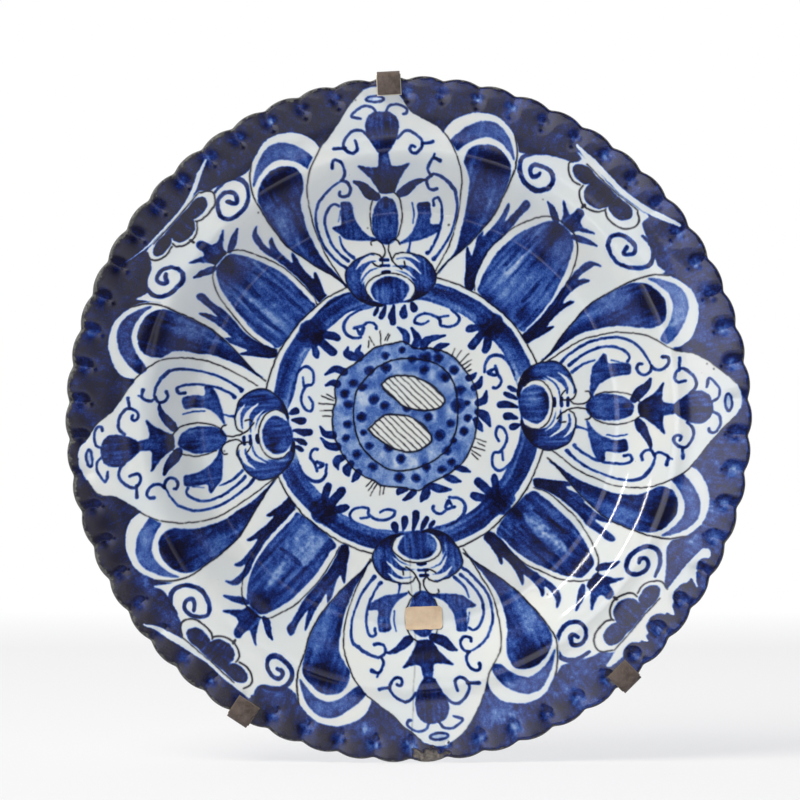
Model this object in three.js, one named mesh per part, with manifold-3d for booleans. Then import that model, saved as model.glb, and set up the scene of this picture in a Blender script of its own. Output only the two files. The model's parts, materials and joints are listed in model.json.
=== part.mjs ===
// A round scalloped faience dish, held upright in a three-arm plate hanger.
// Millimetres, seen from the front: the dish faces -Y, +X is right and +Z is up.
// The origin is on the wall, straight behind the dish's centre.
// A depth is a distance in front of the wall, so y = -depth.
// Angles go anticlockwise from +X as seen from the front.
import * as THREE from 'three'
import { mergeVertices } from 'three/addons/utils/BufferGeometryUtils.js'
import Module from 'manifold-3d'

// Dish
const rimRadius = 173.2 // to the crest of a scallop
const scallopCount = 58
const scallopDepth = 2.2 // from crest to notch, along the radius
const notchAngle = 3.4 // the first notch, in degrees
const ridgeHeight = 0.6 // of the ridge behind each crest, above the even rim
const ridgeInset = 8.7 // from the crest to where the ridges stand highest
const ridgeReach = 14 // from there to where they fade, towards the middle
const wellRadius = 105
const shoulderRadius = 138 // where the curved wall turns into the rim
const wallRise = 17
const rimRise = 8.5
const wallThickness = 7
const edgeThickness = 4.6
const edgeRound = 1.6
const footRadius = 70
const footWidth = 8
const footHeight = 6.5
const footRound = 1

// Paper label on the front of the well
const labelWidth = 18.9
const labelHeight = 11.8
const labelThickness = 0.3
const labelRight = 7.7 // of the dish's centre
const labelDrop = 101.8 // below it
const labelTurn = 2 // degrees
const labelCorner = 1.2 // clipped off each corner

// Hanger
const stripWidth = 11.5
const stripThickness = 1.2
const hubDrop = 20 // of the hub below the dish's centre
const hubRadius = 13
const tongueLength = 34 // of the hub plate under each lower arm
const topHookAngle = 93.4
const leftHookAngle = 240.4
const rightHookAngle = 310.1
const tabLap = 9.5 // of each hook over the rim's front
const tabSlope = 0.1 // of the lower hooks' tabs, which follow the rim
const bendRadius = 2.2
const lowerBendInset = 52 // from the crest to where a lower arm leaves the wall
const liningThickness = 0.6
const liningEdge = 0.4 // shown past the metal

// Fasteners
const rivetRadius = 1.9
const rivetHeadRadius = 3.5
const rivetHeadHeight = 1.5
const firstRivet = 14.5 // from the hub
const rivetSpacing = 14
const screwRadius = 2
const screwHeadRadius = 3.8
const screwSpacing = 22
const lowerScrewOut = 18.2 // past the edge of the well
const screwEnd = 1.4 // past the nut
const headDepth = 0.9 // of a countersunk head
const washerRadius = 4.6
const washerThickness = 0.8
const nutRadius = 3.8
const nutTaper = 0.7
const nutHeight = 3.6
const wingRadius = 8.5
const wingHeight = 6.5
const wingThickness = 1.4

// Nail eye in the spine
const eyeOut = 4.5 // past the foot ring
const eyeRadius = 4.5
const nailRadius = 2.3
const nailRise = 9
const eyeWall = 5

// Fits
const gap = 0.3 // between pieces that touch
const boreGap = 0.3 // round a screw, rivet or nut
const slotGap = 0.45 // beside the screws in the top hook's slot
const headInset = 0.1 // of countersunk heads, under the spine's back
const releaseGap = 4.5 // between tab and rim with the top hook raised

// Heights of the layers between wall and dish
const armBack = stripThickness + gap
const armFront = armBack + stripThickness
const footDepth = armFront + gap
const wellBack = footDepth + footHeight
const wellFront = wellBack + wallThickness

const smooth = (t) => t * t * (3 - 2 * t)
const unit = (t) => THREE.MathUtils.clamp(t, 0, 1)
const ease = (from, to, value) => smooth(unit((value - from) / (to - from)))
const radians = THREE.MathUtils.degToRad

// Dish surface

function frontDepth(radius) {
  const slope = unit((radius - wellRadius) / (rimRadius - wellRadius))
  return wellFront + wallRise * ease(wellRadius, shoulderRadius, radius) + rimRise * slope
}

function thickness(radius) {
  return THREE.MathUtils.lerp(wallThickness, edgeThickness, ease(shoulderRadius, rimRadius, radius))
}

const backDepth = (radius) => frontDepth(radius) - thickness(radius)

// 1 on the crest of a scallop, 0 in a notch
function scallop(angle) {
  const turn = ((angle - radians(notchAngle)) * scallopCount) / (2 * Math.PI)
  const fromCrest = Math.abs(turn - Math.floor(turn) - 0.5)
  return 1 - (2 * fromCrest) ** 2.2
}

const ridgeStrength = (radius) => ease(rimRadius - ridgeInset - ridgeReach, rimRadius - ridgeInset, radius)

// One ring of points round the axis, drawn in by the notches and raised by the ridges
function ring(radius, depth, count, ridgeShare) {
  const points = []
  for (let i = 0; i < count; i++) {
    const angle = radians(notchAngle) + (2 * Math.PI * i) / count
    const wave = scallop(angle)
    const strength = ridgeStrength(radius)
    const r = radius - scallopDepth * (1 - wave) * strength
    const d = depth + ridgeHeight * (2 * wave - 1) * strength * ridgeShare
    points.push(new THREE.Vector3(r * Math.cos(angle), -d, r * Math.sin(angle)))
  }
  return points
}

// Joins rings in order into one closed skin.
// A ring has one point, as many as the last, or twice or half as many.
function skin(rings) {
  const positions = rings.flat().flatMap((p) => p.toArray())
  const faces = []
  let start = 0
  for (let k = 1; k < rings.length; k++) {
    const [a, b] = [rings[k - 1].length, rings[k].length]
    const next = start + a
    const most = Math.max(a, b)
    for (let i = 0; i < most; i++) {
      const [a0, a1] = [i, i + 1].map((j) => start + (Math.floor((j * a) / most) % a))
      const [b0, b1] = [i, i + 1].map((j) => next + (Math.floor((j * b) / most) % b))
      if (b0 !== b1) faces.push(a0, b0, b1)
      if (a0 !== a1) faces.push(a0, b1, a1)
    }
    start = next
  }
  const geometry = new THREE.BufferGeometry()
  geometry.setAttribute('position', new THREE.Float32BufferAttribute(positions, 3))
  geometry.setIndex(faces)
  geometry.computeVertexNormals()
  return geometry
}

function dishGeometry() {
  const coarse = 2 * scallopCount
  const fine = 4 * scallopCount
  const onWall = (t) => THREE.MathUtils.lerp(wellRadius, shoulderRadius, t)
  const ridgeStart = rimRadius - ridgeInset - ridgeReach
  const ridgeTop = rimRadius - ridgeInset
  const edgeStart = rimRadius - edgeRound
  const footInner = footRadius - footWidth
  const rings = [ring(0, wellFront, 1, 0), ring(wellRadius / 2, wellFront, scallopCount, 0)]
  for (const t of [0, 0.06, 0.13, 0.24, 0.38, 0.53, 0.68, 0.84, 1]) {
    rings.push(ring(onWall(t), frontDepth(onWall(t)), coarse, 0))
  }
  const toRidge = (ridgeStart + ridgeTop) / 2
  const pastRidge = (ridgeTop + edgeStart) / 2
  for (const r of [ridgeStart, toRidge, ridgeTop, pastRidge, edgeStart]) {
    rings.push(ring(r, frontDepth(r), fine, 1))
  }
  rings.push(ring(rimRadius, frontDepth(rimRadius) - edgeRound * 0.8, fine, 1))
  rings.push(ring(rimRadius, backDepth(rimRadius) + edgeRound * 0.8, fine, 0.5))
  rings.push(ring(edgeStart, backDepth(edgeStart), fine, 0.5))
  rings.push(ring(ridgeStart, backDepth(ridgeStart), coarse, 0))
  for (const t of [1, 0.75, 0.5, 0.25, 0]) {
    rings.push(ring(onWall(t), backDepth(onWall(t)), coarse, 0))
  }
  rings.push(ring(footRadius + footRound, wellBack, coarse, 0))
  rings.push(ring(footRadius, wellBack - footRound, coarse, 0))
  rings.push(ring(footRadius - footRound, footDepth, coarse, 0))
  rings.push(ring(footInner + footRound, footDepth, coarse, 0))
  rings.push(ring(footInner, wellBack - footRound, coarse, 0))
  rings.push(ring(footInner - footRound, wellBack, coarse, 0))
  rings.push(ring(0, wellBack, 1, 0))
  return skin(rings)
}

// A thin sheet that lies on the dish, its corners clipped
function labelGeometry() {
  const sheet = new THREE.BoxGeometry(labelWidth, labelThickness, labelHeight, 8, 1, 6)
  const points = sheet.getAttribute('position')
  const [halfWidth, halfHeight] = [labelWidth / 2, labelHeight / 2]
  const centre = new THREE.Vector2(labelRight, -labelDrop)
  for (let i = 0; i < points.count; i++) {
    const flat = new THREE.Vector2(points.getX(i), points.getZ(i))
    const excess = Math.abs(flat.x) - halfWidth + (Math.abs(flat.y) - halfHeight) + labelCorner
    if (excess > 0) {
      flat.x -= (Math.sign(flat.x) * excess) / 2
      flat.y -= (Math.sign(flat.y) * excess) / 2
    }
    flat.rotateAround(new THREE.Vector2(), radians(labelTurn)).add(centre)
    const under = frontDepth(flat.length()) + gap + labelThickness / 2
    points.setXYZ(i, flat.x, points.getY(i) - under, flat.y)
  }
  return sheet
}

// Joining and cutting

const wasm = await Module()
wasm.setup()

function solid(geometry) {
  const bare = geometry.clone()
  bare.deleteAttribute('normal')
  bare.deleteAttribute('uv')
  const merged = mergeVertices(bare)
  const mesh = new wasm.Mesh({
    numProp: 3,
    vertProperties: new Float32Array(merged.getAttribute('position').array),
    triVerts: new Uint32Array(merged.getIndex().array),
  })
  return new wasm.Manifold(mesh)
}

function surface(body) {
  const mesh = body.getMesh()
  const geometry = new THREE.BufferGeometry()
  geometry.setAttribute('position', new THREE.BufferAttribute(mesh.vertProperties, 3))
  geometry.setIndex(new THREE.BufferAttribute(mesh.triVerts, 1))
  geometry.computeVertexNormals()
  return geometry
}

const joined = (first, ...others) => others.reduce((body, other) => body.add(other), first)
const cut = (body, ...tools) => tools.reduce((rest, tool) => rest.subtract(tool), body)

// Sheet metal

const hub = new THREE.Vector2(0, -hubDrop)

// A straight line from the hub to the rim, which a hook's strip follows
function arm(angle) {
  const crest = new THREE.Vector2(rimRadius, 0).rotateAround(new THREE.Vector2(), radians(angle))
  const along = crest.sub(hub)
  const length = along.length()
  return { along: along.normalize(), length }
}

const arms = {
  top: arm(topHookAngle),
  left: arm(leftHookAngle),
  right: arm(rightHookAngle),
}
const place = ({ along }, distance) => along.clone().multiplyScalar(distance).add(hub)

// Turns the corners of a path into arcs
function rounded(corners, radius) {
  const path = [corners[0]]
  for (let i = 1; i < corners.length - 1; i++) {
    const corner = corners[i]
    const back = corners[i - 1].clone().sub(corner).normalize()
    const on = corners[i + 1].clone().sub(corner).normalize()
    const half = Math.acos(unit((back.dot(on) + 1) / 2) ** 0.5)
    const reach = radius / Math.tan(half)
    const middle = back.clone().add(on).normalize().multiplyScalar(radius / Math.sin(half)).add(corner)
    const from = back.multiplyScalar(reach).add(corner).sub(middle)
    const to = on.multiplyScalar(reach).add(corner).sub(middle)
    const sweep = Math.atan2(from.cross(to), from.dot(to))
    for (let k = 0; k <= 4; k++) {
      path.push(from.clone().rotateAround(new THREE.Vector2(), (sweep * k) / 4).add(middle))
    }
  }
  path.push(corners[corners.length - 1])
  return path
}

// A bent strip: path points are (distance from the hub, depth)
function bentStrip(line, path, thick, width) {
  const normals = path.map((point, i) => {
    const before = path[Math.max(i - 1, 0)]
    const after = path[Math.min(i + 1, path.length - 1)]
    const run = after.clone().sub(before).normalize()
    return new THREE.Vector2(-run.y, run.x).multiplyScalar(thick / 2)
  })
  const upper = path.map((point, i) => point.clone().add(normals[i]))
  const lower = path.map((point, i) => point.clone().sub(normals[i]))
  const outline = new THREE.Shape([...upper, ...lower.reverse()])
  const strip = new THREE.ExtrudeGeometry(outline, { depth: width, bevelEnabled: false })
  strip.translate(0, 0, -width / 2)
  const along = new THREE.Vector3(line.along.x, 0, line.along.y)
  const out = new THREE.Vector3(0, -1, 0)
  const frame = new THREE.Matrix4().makeBasis(along, out, along.clone().cross(out))
  return strip.applyMatrix4(frame.setPosition(hub.x, 0, hub.y))
}

// The corners of a path round the rim, this far off it: back of the edge, front of the edge, end of the tab
function roundRim(line, offset, lap, slope) {
  const crestFront = frontDepth(rimRadius) + ridgeHeight
  const crestBack = backDepth(rimRadius) - ridgeHeight
  return [
    new THREE.Vector2(line.length + offset, crestBack - offset),
    new THREE.Vector2(line.length + offset, crestFront + offset),
    new THREE.Vector2(line.length - lap, crestFront + offset - slope * lap),
  ]
}

const metalOffset = gap + liningThickness + gap + stripThickness / 2

function hookStrip(line, start, bend, slope) {
  const middle = (armBack + armFront) / 2
  const flat = [new THREE.Vector2(start, middle), new THREE.Vector2(bend, middle)]
  const path = rounded([...flat, ...roundRim(line, metalOffset, tabLap, slope)], bendRadius)
  return solid(bentStrip(line, path, stripThickness, stripWidth))
}

function liningGeometry(line, slope) {
  const corners = roundRim(line, gap + liningThickness / 2, tabLap + liningEdge, slope)
  return bentStrip(line, rounded(corners, bendRadius / 2), liningThickness, stripWidth + 2 * liningEdge)
}

// A flat piece between two depths, its outline in (x, z)
function plate(outline, back, front) {
  const options = { depth: front - back, bevelEnabled: false, curveSegments: 9 }
  const flat = new THREE.ExtrudeGeometry(outline, options)
  return solid(flat.translate(0, 0, back).rotateX(Math.PI / 2))
}

// A strip with round ends between two places
function stadium(from, to, radius) {
  const turn = Math.atan2(to.y - from.y, to.x - from.x)
  const outline = new THREE.Shape()
  outline.absarc(to.x, to.y, radius, turn - Math.PI / 2, turn + Math.PI / 2)
  outline.absarc(from.x, from.y, radius, turn + Math.PI / 2, turn + (3 * Math.PI) / 2)
  return outline
}

const disc = (centre, radius) => new THREE.Shape().absarc(centre.x, centre.y, radius, 0, 2 * Math.PI)

// A turned piece at a place: profile points are (radius, depth), closed on itself or on the axis
function turned(profile, centre, segments = 18) {
  const points = profile.map(([radius, depth]) => new THREE.Vector2(radius, -depth))
  if (THREE.ShapeUtils.area(points) < 0) points.reverse()
  points.push(points[0].clone())
  return solid(new THREE.LatheGeometry(points, segments).translate(centre.x, 0, centre.y))
}

// Fasteners

// A countersunk head and its shank
function countersunk(centre, head, shank, end) {
  const underHead = headInset + headDepth
  return turned([[0, headInset], [head, headInset], [shank, underHead], [shank, end], [0, end]], centre)
}

// The hole that such a head and shank need
function countersink(centre, head, shank, end) {
  const profile = [
    [0, -gap],
    [head + boreGap, -gap],
    [head + boreGap, headInset],
    [shank + boreGap, headInset + headDepth],
    [shank + boreGap, end],
    [0, end],
  ]
  return turned(profile, centre)
}

function rivet(centre) {
  const seat = armFront + gap
  const top = seat + rivetHeadHeight
  const dome = [
    [0, seat],
    [rivetHeadRadius, seat],
    [rivetHeadRadius * 0.85, seat + rivetHeadHeight * 0.6],
    [rivetHeadRadius * 0.5, seat + rivetHeadHeight * 0.92],
    [0, top],
  ]
  const shank = countersunk(centre, rivetHeadRadius - gap, rivetRadius, seat + rivetHeadHeight / 2)
  return joined(turned(dome, centre), shank)
}

const rivetHole = (centre) => countersink(centre, rivetHeadRadius - gap, rivetRadius, footDepth)

const washerBack = armFront + gap
const nutBack = washerBack + washerThickness + gap
const screwTop = nutBack + wingHeight - screwEnd
const screw = (centre) => countersunk(centre, screwHeadRadius, screwRadius, screwTop)
const screwHole = (centre) => countersink(centre, screwHeadRadius, screwRadius, screwTop)
const bore = screwRadius + boreGap

function washer(centre) {
  const front = washerBack + washerThickness
  const section = [[bore, washerBack], [washerRadius, washerBack], [washerRadius, front], [bore, front]]
  return turned(section, centre)
}

// A tapered nut with two upright wings, level at rest
function wingNut(centre) {
  const top = nutBack + nutHeight
  const body = turned([[0, nutBack], [nutRadius, nutBack], [nutRadius - nutTaper, top], [0, top]], centre)
  const tip = nutBack + wingHeight
  const wings = [-1, 1].map((side) => {
    const outline = new THREE.Shape()
    outline.moveTo(side * nutTaper, nutBack + nutHeight / 4)
    outline.lineTo(side * (nutRadius + nutTaper), nutBack + nutHeight / 4)
    outline.quadraticCurveTo(side * wingRadius, nutBack + nutHeight / 2, side * wingRadius, tip - nutTaper)
    outline.quadraticCurveTo(side * wingRadius, tip, side * (wingRadius - nutTaper), tip)
    outline.quadraticCurveTo(side * (nutRadius + nutTaper), tip, side * nutTaper, top - nutTaper)
    const options = { depth: wingThickness, bevelEnabled: false, curveSegments: 6 }
    const flat = new THREE.ExtrudeGeometry(outline, options).translate(0, 0, -wingThickness / 2)
    return solid(flat.rotateX(Math.PI).translate(centre.x, 0, centre.y))
  })
  const [under, over] = [nutBack - gap, tip + gap]
  const hole = turned([[0, under], [bore, under], [bore, over], [0, over]], centre)
  return cut(joined(body, ...wings), hole)
}

// Places along the arms

// The distance from the hub to a radius of the dish, along the top hook's arm
const topDistance = (radius) => arms.top.length - (rimRadius - radius)
const lowerScrew = topDistance(wellRadius + lowerScrewOut)
const upperScrew = lowerScrew + screwSpacing
const screwPlaces = { lower: place(arms.top, lowerScrew), upper: place(arms.top, upperScrew) }
const rivetPlaces = {
  left_inner: place(arms.left, firstRivet),
  left_outer: place(arms.left, firstRivet + rivetSpacing),
  right_inner: place(arms.right, firstRivet),
  right_outer: place(arms.right, firstRivet + rivetSpacing),
}

// Hanger pieces

function spine() {
  const eye = topDistance(footRadius + eyeOut + eyeWall + eyeRadius)
  const strip = (line, end) => plate(stadium(hub, place(line, end), stripWidth / 2), 0, stripThickness)
  const hole = (shape) => plate(shape, -gap, stripThickness + gap)
  const body = joined(
    plate(disc(hub, hubRadius), 0, stripThickness),
    strip(arms.top, upperScrew + gap),
    strip(arms.left, tongueLength),
    strip(arms.right, tongueLength),
    plate(disc(place(arms.top, eye), eyeRadius + eyeWall), 0, stripThickness),
  )
  return cut(
    body,
    hole(disc(place(arms.top, eye), eyeRadius)),
    hole(stadium(place(arms.top, eye), place(arms.top, eye + nailRise), nailRadius)),
    ...Object.values(rivetPlaces).map(rivetHole),
    ...Object.values(screwPlaces).map(screwHole),
  )
}

// The strip of the top hook, with a slot that lets it slide up over the two screws
function topHook() {
  const slotRadius = screwRadius + slotGap
  const travel = tabLap + releaseGap
  const slotStart = lowerScrew - travel
  const start = slotStart - slotRadius - stripWidth / 2
  const bend = upperScrew + washerRadius + bendRadius
  const slot = stadium(place(arms.top, slotStart), place(arms.top, upperScrew), slotRadius)
  return cut(hookStrip(arms.top, start, bend, 0), plate(slot, armBack - gap, armFront + gap))
}

// The inner ends of the lower arms stop short of each other over the hub
function lowerArm(line, names) {
  const turn = arms.left.along.angleTo(arms.right.along)
  const start = (stripWidth / 2 + gap) / Math.tan(turn / 2)
  const strip = hookStrip(line, start, line.length - lowerBendInset, tabSlope)
  return cut(strip, ...names.map((name) => rivetHole(rivetPlaces[name])))
}

// Materials

const glaze = () => new THREE.MeshStandardMaterial({ color: 0xdfe3e0, roughness: 0.18, metalness: 0 })
const paper = () => new THREE.MeshStandardMaterial({ color: 0xdec6a5, roughness: 0.9, metalness: 0 })
const iron = () => new THREE.MeshStandardMaterial({ color: 0x6e5a4b, roughness: 0.55, metalness: 0.6 })
const brass = () => new THREE.MeshStandardMaterial({ color: 0xa08550, roughness: 0.4, metalness: 0.9 })
const felt = () => new THREE.MeshStandardMaterial({ color: 0xe4ddcc, roughness: 0.95, metalness: 0 })

// Assembly

const group = new THREE.Group()

function add(name, geometry, material) {
  const mesh = new THREE.Mesh(geometry, material)
  mesh.name = name
  group.add(mesh)
}

add('dish', dishGeometry(), glaze())
add('paper_label', labelGeometry(), paper())
add('hanger_spine', surface(spine()), iron())
add('top_hook', surface(topHook()), iron())
add('lower_left_arm', surface(lowerArm(arms.left, ['left_inner', 'left_outer'])), iron())
add('lower_right_arm', surface(lowerArm(arms.right, ['right_inner', 'right_outer'])), iron())
for (const [name, centre] of Object.entries(rivetPlaces)) {
  add(`rivet_${name}`, surface(rivet(centre)), iron())
}
for (const [name, centre] of Object.entries(screwPlaces)) {
  add(`clamp_screw_${name}`, surface(screw(centre)), brass())
  add(`washer_${name}`, surface(washer(centre)), brass())
  add(`wing_nut_${name}`, surface(wingNut(centre)), brass())
}
add('hook_lining_top', liningGeometry(arms.top, 0), felt())
add('hook_lining_left', liningGeometry(arms.left, tabSlope), felt())
add('hook_lining_right', liningGeometry(arms.right, tabSlope), felt())

export default group
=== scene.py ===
# Scalloped dish of painted tin-glazed earthenware, in a three-arm plate hanger.
# Metres in the frame of the part: the dish faces -Y, +X is right, +Z is up, the wall is at y = 0.
# The dish's own sizes are in millimetres, and a depth is a distance in front of the wall.
import json
import math

import bpy
import numpy as np
from mathutils import Matrix, Vector


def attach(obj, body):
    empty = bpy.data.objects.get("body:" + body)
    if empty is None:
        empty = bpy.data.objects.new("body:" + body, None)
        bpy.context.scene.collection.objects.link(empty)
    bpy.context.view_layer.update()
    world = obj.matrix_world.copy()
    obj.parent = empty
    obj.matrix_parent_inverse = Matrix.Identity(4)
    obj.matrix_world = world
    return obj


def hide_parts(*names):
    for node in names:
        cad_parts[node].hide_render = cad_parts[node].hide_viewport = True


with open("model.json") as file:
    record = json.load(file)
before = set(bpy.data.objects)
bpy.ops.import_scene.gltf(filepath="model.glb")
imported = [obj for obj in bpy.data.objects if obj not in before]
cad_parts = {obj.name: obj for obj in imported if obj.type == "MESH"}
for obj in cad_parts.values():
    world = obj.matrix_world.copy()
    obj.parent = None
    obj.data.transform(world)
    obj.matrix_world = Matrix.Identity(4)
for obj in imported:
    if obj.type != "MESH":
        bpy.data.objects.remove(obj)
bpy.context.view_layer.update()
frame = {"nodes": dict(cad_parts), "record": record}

MM = 0.001

# Painted pattern
# It is worked out on a flat sheet of points, in millimetres from the dish's centre, x right and z up.
# Its panels are drawn facing outwards: u to the right and v outwards along the panel's direction.

PAINT_STEP = 0.22
PAINT_REACH = 175
PAINT_SIZE = int(2 * PAINT_REACH / PAINT_STEP) + 1
LOBES = 58
NOTCH_ANGLE = 3.4
PATTERN_CENTRE = (-1.7, 1.5)
LINE_SPREAD = 0.8  # of a drawn outline as it sinks into the glaze
EDGE_SOFTNESS = 0.3  # of a stroke
STROKE_MARGIN = 0.4  # worked out beside a stroke
THINNEST_HALF = 0.15  # half the width of the thinnest stroke
DEEPER_TWICE = 0.12  # of the paler paint, where two washes overlap
CLOUD_CELLS = 64  # along each side of a noise table
CLOUD_SHIFTS = (17.3, 9.1)  # for each seed

cobalt = np.zeros((PAINT_SIZE, PAINT_SIZE), np.float32)
outline = np.zeros((PAINT_SIZE, PAINT_SIZE), np.float32)


def noise_table(seed):
    return np.random.default_rng(seed).normal(size=(CLOUD_CELLS, CLOUD_CELLS)).astype(np.float32)


def cloud(x, z, cell, seed, cell_z=None):
    """Smooth noise about 0, with blotches of the cell's size."""
    table = noise_table(seed)
    a = x / cell + CLOUD_SHIFTS[0] * seed
    b = z / (cell_z or cell) + CLOUD_SHIFTS[1] * seed
    i, j = np.floor(a).astype(int), np.floor(b).astype(int)
    s, t = a - i, b - j
    s, t = s * s * (3 - 2 * s), t * t * (3 - 2 * t)
    i2, j2 = (i + 1) % CLOUD_CELLS, (j + 1) % CLOUD_CELLS
    i, j = i % CLOUD_CELLS, j % CLOUD_CELLS
    near = table[i, j] * (1 - s) + table[i2, j] * s
    far = table[i, j2] * (1 - s) + table[i2, j2] * s
    return near * (1 - t) + far * t


def whole_sheet():
    """The x and z of every point of the sheet."""
    side = np.arange(PAINT_SIZE) * PAINT_STEP - PAINT_REACH
    z, x = np.meshgrid(side, side, indexing="ij")
    return x, z


def box_around(points, margin):
    """The part of the sheet round some points, as slices and the places of its points."""
    low = np.floor((points.min(0) - margin + PAINT_REACH) / PAINT_STEP).astype(int)
    high = np.ceil((points.max(0) + margin + PAINT_REACH) / PAINT_STEP).astype(int) + 1
    low, high = np.clip(low, 0, PAINT_SIZE - 1), np.clip(high, 1, PAINT_SIZE)
    x = np.arange(low[0], high[0]) * PAINT_STEP - PAINT_REACH
    z = np.arange(low[1], high[1]) * PAINT_STEP - PAINT_REACH
    grid_z, grid_x = np.meshgrid(z, x, indexing="ij")
    return (slice(low[1], high[1]), slice(low[0], high[0])), grid_x, grid_z


def smooth_path(points, closed=False, steps=7):
    """A smooth curve through points, with any further columns such as widths carried along."""
    p = np.asarray(points, float)
    if len(p) == 2 and not closed:
        t = np.linspace(0, 1, steps)[:, None]
        return p[0] * (1 - t) + p[1] * t
    if closed:
        p = np.vstack([p[-1], p, p[0], p[1]])
    else:
        p = np.vstack([2 * p[0] - p[1], p, 2 * p[-1] - p[-2]])
    t = np.linspace(0, 1, steps, endpoint=False)[:, None]
    pieces = []
    for a, b, c, d in zip(p, p[1:], p[2:], p[3:]):
        pieces.append(
            0.5 * (2 * b + (c - a) * t + (2 * a - 5 * b + 4 * c - d) * t**2 + (3 * b - a - 3 * c + d) * t**3)
        )
    if not closed:
        pieces.append(p[-2:-1])
    return np.vstack(pieces)


class Panel:
    """A direction of the dish in which a motif is drawn, with the painter's own shifts for that copy."""

    def __init__(self, turn, mirrored=False, rows=((-200, -200, 0), (200, 200, 0))):
        self.turn = np.radians(turn)
        self.side = -1 if mirrored else 1
        self.rows = np.array(sorted(rows), float)

    def place(self, points):
        """The x and z of points drawn in the panel."""
        p = np.array(points, float)
        u = p[:, 0] + np.interp(p[:, 1], self.rows[:, 0], self.rows[:, 2])
        v = np.interp(p[:, 1], self.rows[:, 0], self.rows[:, 1])
        u = u * self.side
        p[:, 0] = v * np.cos(self.turn) + u * np.sin(self.turn)
        p[:, 1] = v * np.sin(self.turn) - u * np.cos(self.turn)
        return p

    def local(self, x, z):
        """The panel's own u and v of places on the sheet."""
        v = x * np.cos(self.turn) + z * np.sin(self.turn)
        u = x * np.sin(self.turn) - z * np.cos(self.turn)
        return u * self.side, v


def cover_of_stroke(panel, points, width, margin=1.0):
    """How far each point of the sheet lies under a brush stroke; a third column scales its width."""
    rows = [tuple(p) if len(p) > 2 else (p[0], p[1], 1.0) for p in points]
    path = smooth_path(rows)
    places = panel.place(path[:, :2])
    half = np.maximum(path[:, 2] * width / 2, THINNEST_HALF)
    window, x, z = box_around(places, half.max() + margin)
    cover = np.zeros(x.shape, np.float32)
    for a, b, half_a, half_b in zip(places, places[1:], half, half[1:]):
        reach = max(half_a, half_b) + STROKE_MARGIN
        low = np.minimum(a, b) - reach
        high = np.maximum(a, b) + reach
        cols = slice(*np.searchsorted(x[0], (low[0], high[0])))
        lines = slice(*np.searchsorted(z[:, 0], (low[1], high[1])))
        px, pz = x[lines, cols] - a[0], z[lines, cols] - a[1]
        run = b - a
        t = np.clip((px * run[0] + pz * run[1]) / max(run @ run, 1e-9), 0, 1)
        away = np.hypot(px - t * run[0], pz - t * run[1])
        depth = np.clip((half_a + (half_b - half_a) * t - away) / EDGE_SOFTNESS + 0.5, 0, 1)
        np.maximum(cover[lines, cols], depth, out=cover[lines, cols])
    return window, x, z, cover


def blurred(values, reach):
    """A box blur, done twice, over a number of millimetres."""
    n = max(int(reach / PAINT_STEP), 1)
    for _ in range(2):
        for axis in (0, 1):
            padded = np.pad(values, [(n + 1, n) if k == axis else (0, 0) for k in (0, 1)], mode="edge")
            total = np.cumsum(padded, axis=axis, dtype=np.float64)
            size = 2 * n + 1
            upper = np.take(total, np.arange(size, total.shape[axis]), axis=axis)
            lower = np.take(total, np.arange(0, total.shape[axis] - size), axis=axis)
            values = ((upper - lower) / size).astype(np.float32)
    return values


def cover_of_shape(panel, points):
    """How far each point of the sheet lies inside an outline."""
    places = panel.place(smooth_path(points, True, 6))
    window, x, z = box_around(places, 1.5)
    inside = np.zeros(x.shape, bool)
    for (ax, az), (bx, bz) in zip(places, np.roll(places, -1, 0)):
        if az == bz:
            continue
        crosses = (az > z) != (bz > z)
        inside ^= crosses & (x < (bx - ax) * (z - az) / (bz - az) + ax)
    return window, x, z, blurred(inside.astype(np.float32), PAINT_STEP)


def lay(window, cover, amount):
    """Lays paint on the sheet; where paint lies already, the stronger of the two stays, a little deeper."""
    under = cobalt[window]
    over = np.maximum(under, amount) + DEEPER_TWICE * np.minimum(under, amount)
    cobalt[window] = under * (1 - cover) + over * cover


def stroke(panel, points, width, amount=0.95):
    """A brush stroke."""
    window, x, z, cover = cover_of_stroke(panel, points, width)
    uneven = 1 + 0.10 * cloud(x, z, 1.7, 3) + 0.07 * cloud(x, z, 5.0, 4)
    lay(window, cover, amount * uneven)


def strokes(panel, width, amount, *paths):
    for path in paths:
        stroke(panel, path, width, amount)


def line(panel, points, width=0.62, amount=0.85):
    """A thin dark outline, drawn with a pointed brush."""
    window, x, z, cover = cover_of_stroke(panel, points, width * LINE_SPREAD)
    strength = np.clip(amount * (1.15 + 0.16 * cloud(x, z, 4.0, 5)), 0, 1.2)
    np.maximum(outline[window], cover * strength, out=outline[window])


def fill(panel, points, amount=0.75, streaks=0.10, grain=(0.9, 9.0), pooled=0.12, shade=None):
    """A wash inside an outline: streaked along the panel, darker where paint pooled at its edge."""
    window, x, z, cover = cover_of_shape(panel, points)
    u, v = panel.local(x, z)
    depth = amount * (
        1 + streaks * cloud(u, v, grain[0], 6, grain[1]) + 0.5 * streaks * cloud(u, v, 3.1, 7, 14.0)
    )
    depth += amount * (0.07 * cloud(x, z, 0.7, 8) + 0.07 * cloud(x, z, 2.4, 9))
    depth += pooled * np.clip(1 - blurred(cover, 0.9), 0, 1) * 2
    if shade is not None:
        depth = depth + shade(u, v)
    lay(window, cover, depth)


def wipe(panel, points, width=None, lines_too=False):
    """Leaves the glaze white: inside an outline, or along a stroke when it has a width."""
    if width is None:
        window, _, _, cover = cover_of_shape(panel, points)
    else:
        window, _, _, cover = cover_of_stroke(panel, points, width)
    cobalt[window] *= 1 - cover
    if lines_too:
        outline[window] *= 1 - cover


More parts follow.
